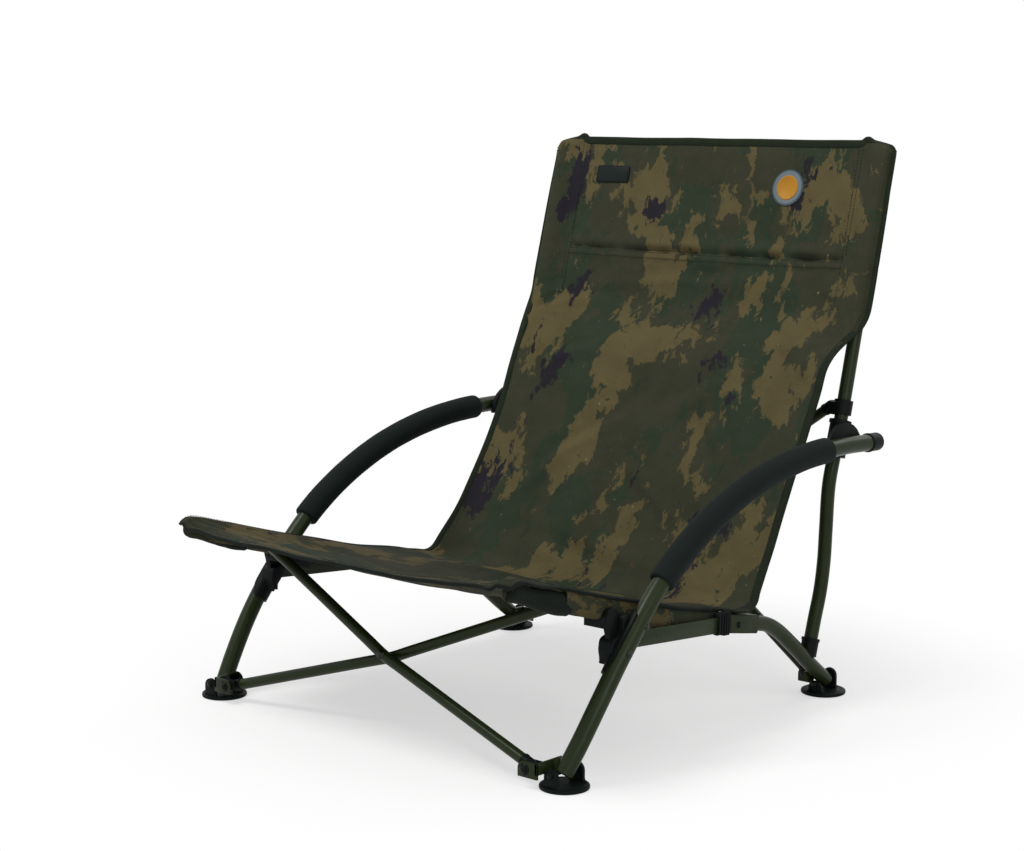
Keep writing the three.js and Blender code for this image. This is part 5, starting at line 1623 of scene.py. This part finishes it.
    def creases(self, x: float, distance: float) -> float:
        """How far single soft creases push the back cloth at one place."""
        total = 0.0
        for centre_x, centre, lean, long, wide, depth in BACK_CREASES:
            turn, dx, dv = math.radians(lean), x - centre_x, distance - centre
            along, across = (
                dx * math.cos(turn) + dv * math.sin(turn), dv * math.cos(turn) - dx * math.sin(turn))
            across += 6 * noise.noise(Vector((along / 40, centre / 50, 0.5)))
            if abs(along) < 2.5 * long and abs(across) < 4 * wide:
                total += depth * across / wide \
                    * math.exp(0.5 - (across / wide) ** 2 / 2 - (along / long) ** 2)
        return total

    def wrinkle(self, x: float, distance: float, span: float) -> float:
        """How far the cloth is pushed back by its wrinkles at one place."""
        hold = 1 - (0.55 if self.panel is Panel.SEAT else 0.8) * abs(span) ** 6
        broad = 4.0 * noise.noise(Vector((x / 95, distance / 120, 3.1 if self.panel is Panel.BACK else 7.7)))
        fine = 1.1 * noise.noise(Vector((x / 34, distance / 48, 1.7)))
        total = (broad + fine) * hold
        if self.panel is Panel.BACK:
            total += self.creases(x, distance) * hold
            seam = self.edge.reach_at(2, self.seam_height)
            above = distance - seam
            ripple = noise.noise(Vector((x / 26, 0.3, 5.5))) + 0.5 * noise.noise(Vector((x / 11, 0.9, 2.5)))
            total += 5.5 * math.exp(-((above - 7) / 4.5) ** 2) * (0.85 + 1.0 * ripple) * hold
            total -= 3.4 * math.exp(-((above - 17) / 8) ** 2) * (0.8 + 0.9 * ripple) * hold
            total += 2.2 * math.exp(-((above + 9) / 7) ** 2) * ripple * hold
            total -= 2.0 * math.exp(-(above / 3.6) ** 2)
            beyond = distance - self.edge.reach_at(2, FAN_HEIGHT)
            for way in (-1, 1):
                total += fan(-way * (x - way * 284), beyond, 4.2, 95, 11, 0.6 * way) * hold
            low = math.exp(-(distance / 150) ** 2)
            total += 2.8 * low * math.sin(
                (x + 0.55 * distance) / 19 + 2 * noise.noise(Vector((x / 90, distance / 60, 9)))) * hold
        else:
            for way in (-1, 1):
                total += fan(-way * (x - way * 280), distance - 6, 2.6, 120, 12) * hold
            rear = math.exp(-((self.length - distance) / 90) ** 2)
            total += 2.0 * rear * math.sin((x - 0.4 * distance) / 21) * hold
        return total

    def sheet(self) -> Shape:
        """The whole panel as a closed sheet, with its flat places."""
        distances = eased_steps(
            0, self.length - TOP_ROUND, TOP_ROUND, self.rows - TOP_ROWS, TOP_ROWS + 1)
        if self.panel is Panel.SEAT:
            distances = (self.length - distances)[::-1]
        spans = np.sin(np.linspace(math.pi / 2, -math.pi / 2, self.columns))
        grid = self.grid(distances, spans)
        half = np.array([self.edge.at(d)[0][0] for d in distances])
        flat = np.stack([
            FLAT_MIDDLE + half[:, None] * spans[None] * MM,
            np.broadcast_to(distances[:, None] * MM + self.cut_from, (self.rows, self.columns))], axis=2)
        return layered(grid, flat, self.thickness)

    def frames(self, distances: np.ndarray, spans: np.ndarray) -> tuple[np.ndarray, np.ndarray]:
        """Points and normals at pairs of places on the panel.

        Args:
            distances: along the edge.
            spans: across, one for each distance.

        Returns:
            Points and unit normals on the sitter's side.
        """
        points, normals = [], []
        for d, s in zip(distances, spans):
            near = np.array([np.clip(s - 0.01, -1, 1), s, np.clip(s + 0.01, -1, 1)])
            here = self.grid(np.clip(np.array([d - 3, d, d + 3]), 0, self.length), near)
            across, up = here[1, 2] - here[1, 0], here[2, 1] - here[0, 1]
            points.append(here[1, 1])
            normals.append(np.cross(across, up))
        return np.array(points), unit(np.array(normals))


class ChairCloth:
    """Seat and back cloth, their sleeves and pockets, binding, seams and blank patches."""

    keep_share = 0.3056
    tape_width = 10.5
    tape_inset = 1 - (tape_width - STITCH_INSET) / CLOTH_HALF_WIDTH

    def __init__(self) -> None:
        """Sets up the two panels and the lines of the tubes that carry them."""
        self.seat = ClothPanel(Panel.SEAT, SEAT_LINE, 17.0, 120, cut_from=SEAT_CUT_FROM)
        self.back = ClothPanel(Panel.BACK, BACK_LINE, 14.0, 236)
        self.rail = side_line(RAIL_LINE)
        self.post = side_line(POST_LINE)

    def fold(self, piece: bpy.types.Object) -> bpy.types.Object:
        """Gives a piece of cloth its own copy of its mesh."""
        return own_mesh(piece)

    def build(self, stitches: Repeat) -> None:
        """Makes all the cloth."""
        self.build_panels(stitches)
        self.build_seat_sleeves()
        self.build_back_sleeves()
        self.build_patches()

    def border_tape(self, panel: ClothPanel, side: np.ndarray, side_share: np.ndarray,
                    end_share: np.ndarray) -> Shape:
        """Binding along one side of a panel, across its free end and back along its other side.

        Args:
            panel: the panel that it binds.
            side: distances along the panel's edge, up to the free end.
            side_share: how much of the tape's width there is at each of them.
            end_share: how much there is at each place across the free end.

        Returns:
            The tape.
        """
        distances = np.concatenate([side, np.full(len(END_SPANS), side[-1]), side[::-1]])
        spans = np.concatenate([np.ones(len(side)), END_SPANS, -np.ones(len(side))])
        points, normals = panel.frames(distances, spans)
        inward = unit(np.cross(unit(np.gradient(points, axis=0)), normals))
        middle = panel.grid(np.array([panel.length / 2]), np.array([0.0]))[0, 0]
        inward *= np.sign((inward * (middle - points)).sum())
        share = np.concatenate([side_share, end_share, side_share[::-1]])
        return taped(points, inward, normals, self.tape_width, 2.1, share)

    def stitch_lines(self, runs: Sequence[np.ndarray]) -> bpy.types.Mesh:
        """A mesh of edges, one line for each run of points in millimetres."""
        points, edges = [], []
        for run in runs:
            start = len(points)
            points.extend((run * MM).tolist())
            edges.extend((start + i, start + i + 1) for i in range(len(run) - 1))
        mesh = bpy.data.meshes.new("stitch lines")
        mesh.from_pydata(points, edges, [])
        return mesh

    def on_panel(self, panel: ClothPanel, distances: np.ndarray, spans: np.ndarray,
                 lift: float) -> np.ndarray:
        """A line on a panel's front face, lifted off it by a little."""
        points, normals = panel.frames(distances, spans)
        return points + normals * lift

    def build_panels(self, stitches: Repeat) -> None:
        """Makes both panels with their binding and seams."""
        # The seat's print carries painted shade: it is darker than the back's
        seat = emit("seat_cloth", self.seat.sheet(), SHADED_SEAT_CAMOUFLAGE, "seat_rail_left", tidy=False)
        back = emit("back_cloth", self.back.sheet(), CAMOUFLAGE, "left_frame", tidy=False)
        seat_binding, back_binding, seam = self.bind_seat(), self.bind_back(), self.crease_seam()
        seat_thread, back_thread = self.sew_seat(stitches), self.sew_back(stitches)
        for piece in (seat, back, seat_binding, back_binding, seam, seat_thread, back_thread):
            self.fold(piece)
        steps = np.linspace(0, self.back.length, 200)
        area = float(np.trapz(2 * self.back.edge.at(steps)[:, 0], steps)) * MM * MM

    def bind_seat(self) -> bpy.types.Object:
        """The seat's binding, wide along the sides and narrow along the front."""
        down, narrow = np.linspace(self.seat.length, 0, 130), 0.32
        flank = 1 - (1 - narrow) * (1 - ramp(down, 8, 40))
        tape = self.border_tape(self.seat, down, flank, np.full(len(END_SPANS), narrow))
        # The seat's tape takes the pouch's darker nylon: painted shade along the seat's edge
        return emit("seat_binding", tape, POCKET_AND_SHADED_TAPE, "seat_rail_left", sharp=50)

    def bind_back(self) -> bpy.types.Object:
        """The back's binding, narrower along the sleeves and over their tops."""
        up, half_top = np.linspace(0, self.back.length, 210), 291
        slim = 1 - 0.38 * ramp(self.height_at(up), *SLIM_RISE)
        over = 1 - 0.5 * ramp(np.abs(END_SPANS) * half_top, 232, 250)
        tape = self.border_tape(self.back, up, slim, over)
        return emit("back_binding", tape, BINDING, "left_frame", sharp=50)

    def crease_seam(self) -> bpy.types.Object:
        """The piping in the crease, where the back's cloth starts."""
        border = self.back.grid(np.array([0.0]), np.linspace(-1, 1, 90))[0]
        piping = tube(border, 1.9, upright=(0, 0, 1), sides=12)
        return emit("crease_seam", piping, BINDING, "left_frame", sharp=60)

    def height_at(self, distances: np.ndarray) -> np.ndarray:
        """Heights of places along the back's edge."""
        return np.interp(distances, self.back.edge.reach, self.back.edge.samples[:, 2])

    def sew_seat(self, stitches: Repeat) -> bpy.types.Object:
        """The stitches along the seat's binding."""
        inset, seat = self.tape_inset, self.seat
        side = np.linspace(9, seat.length - 2, 120)
        runs = [self.on_panel(seat, side, np.full(len(side), way * inset), TAPE_LIFT) for way in (-1, 1)]
        across = np.linspace(-inset, inset, END_STITCH_STEPS) * 0.985
        front = np.full(END_STITCH_STEPS, self.tape_width - STITCH_INSET)
        runs.append(self.on_panel(seat, front, across, TAPE_LIFT))
        thread = stitches.run("seat_stitches", self.stitch_lines(runs), THREAD_AND_SEAM_SHADE, **STITCH, Seed=4)
        return dress(thread, THREAD_AND_SEAM_SHADE, "seat_rail_left")

    def sew_back(self, stitches: Repeat) -> bpy.types.Object:
        """The stitches along the back's binding, its cross seam and its sleeves."""
        inset, back = self.tape_inset, self.back
        side = np.linspace(2, back.length - 10, 210)
        side_inset = inset + 0.0125 * ramp(self.height_at(side), *SLIM_RISE)
        runs = [self.on_panel(back, side, way * side_inset, TAPE_LIFT) for way in (-1, 1)]
        across = np.linspace(-inset, inset, END_STITCH_STEPS) * 0.82
        top = np.full(END_STITCH_STEPS, back.length - self.tape_width + STITCH_INSET)
        runs.append(self.on_panel(back, top, across, TAPE_LIFT))
        seam_at = back.edge.reach_at(2, back.seam_height)
        seam_spans = np.linspace(-0.8, 0.8, END_STITCH_STEPS)
        for shift in (-3.5, 3.5):
            row = np.full(END_STITCH_STEPS, seam_at + shift)
            runs.append(self.on_panel(back, row, seam_spans, CLOTH_LIFT))
        low = back.edge.reach_at(2, SLEEVE_SEAM_START)
        for x, start in ((237.0, low), (243.0, seam_at - 40)):
            up = np.linspace(start, back.length - 9, 120)
            half = back.edge.at(up)[:, 0]
            runs += [self.on_panel(back, up, way * x / half, CLOTH_LIFT) for way in (-1, 1)]
        thread = stitches.run("back_stitches", self.stitch_lines(runs), THREAD_AND_SEAM_SHADE, **STITCH, Seed=7)
        return dress(thread, THREAD_AND_SEAM_SHADE, "left_frame")

    def build_seat_sleeves(self) -> None:
        """Makes the seat rails, the cloth round them and the pouches over their front ends."""
        wrap = Line([(x, up, 0) for x, up in RAIL_WRAP])
        outline = wrap.at(np.linspace(0, wrap.length, 46))
        distances = np.linspace(3, 300, 88)
        rows = []
        for distance in distances:
            place, along = self.rail.at(distance)[0], self.rail.direction(distance)
            up = unit(np.array([0.0, along[2], -along[1]]))
            edge = self.seat.edge.samples
            top = (float(np.interp(place[1], edge[:, 1], edge[:, 2])) - place[2]) * up[2] - 1.1
            height = outline[:, 1] * np.where(outline[:, 1] > 0, top / RAIL_WRAP[0][1], 1.0)
            slack = 0.5 * noise.noise(Vector((distance / 21, 0.2, 0.6)))
            rows.append(
                place + np.outer(outline[:, 0] * (1 + 0.02 * slack), (1, 0, 0))
                + np.outer(height - slack * (height < 0), up))
        reach = FLAT_MIDDLE + (CLOTH_HALF_WIDTH + wrap.length * np.linspace(0, 1, 46)) * MM
        flat = np.stack(np.meshgrid(reach, (390 - distances) * MM), axis=2)
        sleeve = layered(np.array(rows), flat, 1.5)
        lining = self.tip_lining()
        rail = tube(self.rail.at(np.linspace(0, self.rail.length, 120)), RAIL_RADIUS, sides=36)
        knee, end = side_point(KNEE), self.rail.at(0.0)[0]
        back = unit(end - knee)[1:]
        angle = math.degrees(math.atan2(back[1], back[0]))
        round_off, half = 7.4, 3.4
        corners = arc(end[1:] + back * 9, round_off, angle - 90, angle + 90, 12) \
            + arc(knee[1:], round_off, angle + 90, angle + 270, 16)
        tongue = eased(slab(corners, FRAME_HALF_WIDTH - half, FRAME_HALF_WIDTH + half), 0.8, 2)
        for side in Side:
            body = f"seat_rail_{side.label}"
            piece = emit(f"seat_sleeve_{side.label}", sleeve.on(side), SHADED_SEAT_CAMOUFLAGE, body, tidy=False)
            tip = emit(f"seat_tip_{side.label}", lining.on(side), SHADED_SEAT_CAMOUFLAGE, body, tidy=False)
            pouch = emit(f"seat_pocket_{side.label}", self.pouch().on(side), POCKET_AND_SHADED_TAPE, body)
            emit(f"seat_rail_{side.label}", rail.plus(tongue).on(side), PAINT, body)

    def tip_lining(self) -> Shape:
        """The camouflage cloth over a pouch's inner side and round the rail's end."""
        last, nose = self.rail.length, 5.5
        distances = eased_steps(298, last, nose, 34, 12)
        rows = []
        for distance in distances:
            place, way = self.rail.at(distance)[0], self.rail.direction(min(distance, last - 2))
            place = place + way * max(distance - last, 0)
            up = unit(np.array([0.0, way[2], -way[1]]))
            whole = float(ramp(distance, last - 30, last - 12))
            turn = np.radians(np.linspace(62 - 8 * whole, 232 + 14 * whole, 44))
            close = math.sqrt(1 - 0.98 * min(1.0, max(0.0, (distance - last) / nose)) ** 2)
            reach = (13.6 - 2.6 * whole + 0.4 * noise.noise(Vector((distance / 16, 1.2, 0.4)))) * close
            rows.append(place + np.outer(reach * np.cos(turn), (1, 0, 0))
                        + np.outer(reach * np.sin(turn) - 0.3 - 0.7 * whole, up))
        around = np.linspace(0, 46, 44) * MM
        flat = np.stack(
            np.meshgrid(FLAT_MIDDLE + 0.262 - around, (390 - distances) * MM + SEAT_CUT_FROM), axis=2)
        return layered(np.array(rows), flat, 1.3)

    def pouch(self) -> Shape:
        """The dark pouch under a rail's front end, deep at its rear and tapered towards its nose."""
        last, nose = self.rail.length, 5.5
        distances = eased_steps(286, last - 1, nose, 40, 12)
        beyond = np.clip((distances - last + 1) / nose, 0, 1)
        way = self.rail.direction(last - 2)
        up = unit(np.array([0.0, way[2], -way[1]]))
        slim = ramp(distances, 298, last + 4)
        points = self.rail.at(distances) + np.outer(np.maximum(distances - last, 0), way) \
            + np.outer(2.6 * slim - 2.8, up)
        close = np.sqrt(np.maximum(1 - beyond ** 2 * 0.85, 0.1))
        start = 0.9 + 0.1 * ramp(distances, 286, 300)
        slack = np.array([0.5 * noise.noise(Vector((d / 14, 3.0, 1.0))) for d in distances])
        return tube(points, (12.8 - 2.4 * slim + slack) * close * start, sides=44, oval=1.1 - 0.08 * slim)

    def build_back_sleeves(self) -> None:
        """Makes the sleeves that hold the back cloth on its posts."""
        panel = self.back
        start = panel.edge.reach_at(2, SLEEVE_START)
        distances = eased_steps(start, panel.length - TOP_ROUND, TOP_ROUND, 62, TOP_ROWS + 1)
        out = 239.0 + 54.0 * np.sin(np.linspace(0, math.pi / 2, 31))
        bulge = np.interp(out, panel.bulge[:, 0], panel.bulge[:, 1])
        x = np.concatenate([out, out[-2::-1]])
        rows = []
        for distance in distances:
            slack = 1 + 0.05 * noise.noise(Vector((distance / 30, 0.7, 0.1)))
            depth = np.concatenate([bulge * 1.06 * slack, -(bulge[-2::-1] * 0.86 - 0.3)])
            rows.append(panel.beside_post(
                float(distance), x, depth * max(panel.sleeve_share(float(distance)), 0.08)))
        u = FLAT_MIDDLE + np.concatenate([594 - out, out[-2::-1]]) * MM
        sleeve = layered(np.array(rows), np.stack(np.meshgrid(u, distances * MM + 0.03), axis=2), 1.7)
        lid = self.lid()
        for side in Side:
            body = f"{side.label}_frame"
            piece = emit(f"back_sleeve_{side.label}", sleeve.on(side), CAMOUFLAGE, body, tidy=False)
            cap = emit(f"sleeve_top_{side.label}", lid.on(side), BINDING, body, sharp=50)

    def lid(self) -> Shape:
        """The bound rim that closes a sleeve's top, pressed up where the seams meet in it."""
        x = np.linspace(238.0, 292.0, 44)
        line = self.back.beside_post(self.back.length, x, np.zeros(44))
        bump = 1.5 * np.exp(-((x - 247) / 6) ** 2)
        radii = 3.0 + bump - 0.8 * ramp(x, 284, 292) - 1.2 * (1 - ramp(x, 238, 243))
        return tube(line, radii, upright=(0, 1, 0), sides=18, oval=0.9)

    def build_patches(self) -> None:
        """Makes the two blank patches on the back: a label and a round badge."""
        spot, normal = self.patch_place(*LABEL_PLACE)
        right = unit(np.cross(np.array([0, 0, 1.0]), normal))
        above, out = np.cross(normal, right), normal

        def plaque(centre: np.ndarray, half_wide: float, half_high: float, corner: float, low: float,
                   high: float) -> Shape:
            """A rounded plate lying on the cloth, from one height over it to another."""
            outline = []
            for sx, sy, start in ((1, 1, 0), (-1, 1, 90), (-1, -1, 180), (1, -1, 270)):
                outline += arc(
                    (sx * (half_wide - corner), sy * (half_high - corner)), corner, start, start + 90, 12)
            flat = slab(outline, low, high)
            points = centre + np.outer(flat.points[:, 0], out) + np.outer(flat.points[:, 1], right) \
                + np.outer(flat.points[:, 2], above)
            return eased(Shape(points, flat.faces), 0.35, 2)

        for name, size, finish in (
            ("label_patch", LABEL_RIM_SIZE, LABEL_RIM), ("label_face", LABEL_FACE_SIZE, LABEL),
        ):
            self.emit_patch(name, plaque(spot, *size), finish)
        centre, axis = self.patch_place(*BADGE_PLACE)
        layers = {
            "round_patch": (RIM, (
                (0.0, 0.6), (24.6, 0.6), (25, 1.0), (25, 2.0), (24.4, 2.5), (0.0, 2.5))),
            "round_patch_ring": (RING, (
                (0.0, 1.0), (22.6, 1.0), (22.6, 2.7), (22.2, 3.0), (20.6, 3.0), (20.2, 2.6), (0.0, 2.6))),
            "round_patch_middle": (CENTRE, (
                (0.0, 1.2), (16.8, 1.2), (16.8, 3.1), (16.2, 3.5), (15.0, 3.5), (14.6, 3.2), (0.0, 3.2))),
        }
        for name, (finish, profile) in layers.items():
            self.emit_patch(name, turned(profile, centre, axis, 72), finish)

    def patch_place(self, span: float, height: float) -> tuple[np.ndarray, np.ndarray]:
        """The point of the back's front at a share of its half width and a height, and the normal there."""
        reach = self.back.edge.reach_at(2, height)
        points, normals = self.back.frames(np.array([reach]), np.array([span]))
        return points[0], normals[0]

    def emit_patch(self, name: str, shape: Shape, finish: Finish) -> None:
        """Makes a piece of a patch, which rides on the same body as the back cloth."""
        self.fold(emit(name, shape, finish, "left_frame"))


class Studio:
    """A plain pale floor, soft light and the photograph's camera."""

    def build(self) -> None:
        """Makes the floor, the lamps, the world and the camera."""
        self.build_floor()
        self.build_light()
        self.build_camera()

    def build_floor(self) -> None:
        """Makes a wide white floor that fades into the white behind it."""
        mesh = bpy.data.meshes.new("floor")
        ring = [(9 * math.cos(a), 9 * math.sin(a), -0.0004) for a in np.linspace(0, 2 * math.pi, 65)[:-1]]
        mesh.from_pydata(ring, [], [tuple(range(64))])
        floor = bpy.data.objects.new("floor", mesh)
        bpy.context.scene.collection.objects.link(floor)
        made, tree, shader = surface("matt white floor")
        shader.inputs["Base Color"].default_value = to_linear("#f4f4f3")
        settle(shader, Roughness=0.9, Specular_IOR_Level=0.1)
        place = put(tree, "ShaderNodeTexCoord").outputs["Object"]
        far = put(tree, "ShaderNodeVectorMath", {0: place}, operation="LENGTH").outputs["Value"]
        fade = put(tree, "ShaderNodeMapRange", {
            "Value": far, "From Min": 0.3, "From Max": 0.78, "To Min": 0.56, "To Max": 1.0},
            interpolation_type="SMOOTHSTEP")
        white = put(tree, "ShaderNodeEmission", {"Color": (1, 1, 1, 1), "Strength": 1.0})
        share = reckon(tree, "MULTIPLY", fade.outputs["Result"], direct_rays(tree))
        both = put(tree, "ShaderNodeMixShader", {0: share, 1: shader.outputs[0], 2: white.outputs[0]})
        tree.links.new(both.outputs[0], tree.nodes["Material Output"].inputs["Surface"])
        mesh.materials.append(made)

    def build_light(self) -> None:
        """Makes the world and three soft lamps at a plain level."""
        world = bpy.data.worlds.new("studio")
        bpy.context.scene.world = world
        world.use_nodes = True
        tree = world.node_tree
        level = put(tree, "ShaderNodeMapRange", {"Value": direct_rays(tree), "To Min": 0.5, "To Max": 1.0})
        back = tree.nodes["Background"]
        back.inputs["Color"].default_value = (1, 1, 1, 1)
        tree.links.new(level.outputs["Result"], back.inputs["Strength"])
        for name, place, size, power in (
            ("key", (-1.0, -1.7, 3.3), 1.5, 78.0), ("fill", (2.9, -1.2, 1.6), 1.6, 24.0),
            ("rim", (0.4, 2.6, 2.6), 2.0, 20.0),
        ):
            lamp = bpy.data.lights.new(name, "AREA")
            lamp.shape, lamp.size, lamp.energy = "DISK", size, power
            thing = bpy.data.objects.new(name, lamp)
            thing.location = place
            thing.rotation_euler = (Vector((0, 0, 0.3)) - Vector(place)).to_track_quat("-Z", "Y").to_euler()
            bpy.context.scene.collection.objects.link(thing)

    def build_camera(self) -> None:
        """Puts the camera where the photograph was taken from."""
        data = bpy.data.cameras.new("camera")
        data.lens, data.sensor_width = 78.1, 36.0
        data.clip_start, data.clip_end = 0.1, 40.0
        camera = bpy.data.objects.new("camera", data)
        place, target = Vector((1.896, -2.138, 0.771)), Vector((-0.286, 0.254, 0.300))
        camera.location = place
        camera.rotation_euler = (target - place).to_track_quat("-Z", "Y").to_euler()
        bpy.context.scene.collection.objects.link(camera)
        bpy.context.scene.camera = camera
        bpy.context.scene.view_settings.view_transform = "Standard"


def build_feet() -> None:
    """Makes the four feet with their pins."""
    Foot("front_foot", x=ARM_HALF_WIDTH - LEG_TOE, depth=-0.5 * BASE_DEPTH + ORIGIN_SHIFT,
         pin_height=20.0, gaps=(20.0, 20.0), tops=(7.0, 7.0)).build()
    Foot("rear_foot", x=FRAME_HALF_WIDTH, depth=0.502 * BASE_DEPTH + ORIGIN_SHIFT,
         pin_height=15.0, gaps=(15.8, 12.4), tops=(4.2, 16.0)).build()


def build_crossings(fasteners: Repeat) -> None:
    """Makes the crossed tubes at the front and the rear."""
    front, top = side_point((-0.5268, 0.0319)), side_point((-0.414, 0.2847))
    CrossedPair("front", hub_x=264.0, hub=(front[1], front[2]), top_x=257.0, top=(top[1], top[2]),
                knee_height=101.0).build(fasteners)
    rear = side_point((0.5176, 0.0306))
    high = (303.35 + ORIGIN_SHIFT, 376.5)
    CrossedPair("rear", hub_x=253.85, hub=(rear[1], rear[2]), top_x=253.85, top=high,
                knee_height=(rear[2] + high[1]) / 2).build(fasteners)


def main() -> None:
    """Builds the chair, then its studio."""
    logging.basicConfig(level=logging.INFO, format="%(name)s: %(message)s")
    fasteners, stitches, ribs = fastener_tree(), stitch_tree(), rib_tree()
    SideFrame().build(fasteners, ribs)
    build_crossings(fasteners)
    build_feet()
    ChairCloth().build(stitches)
    Studio().build()


if __name__ == "__main__":
    main()
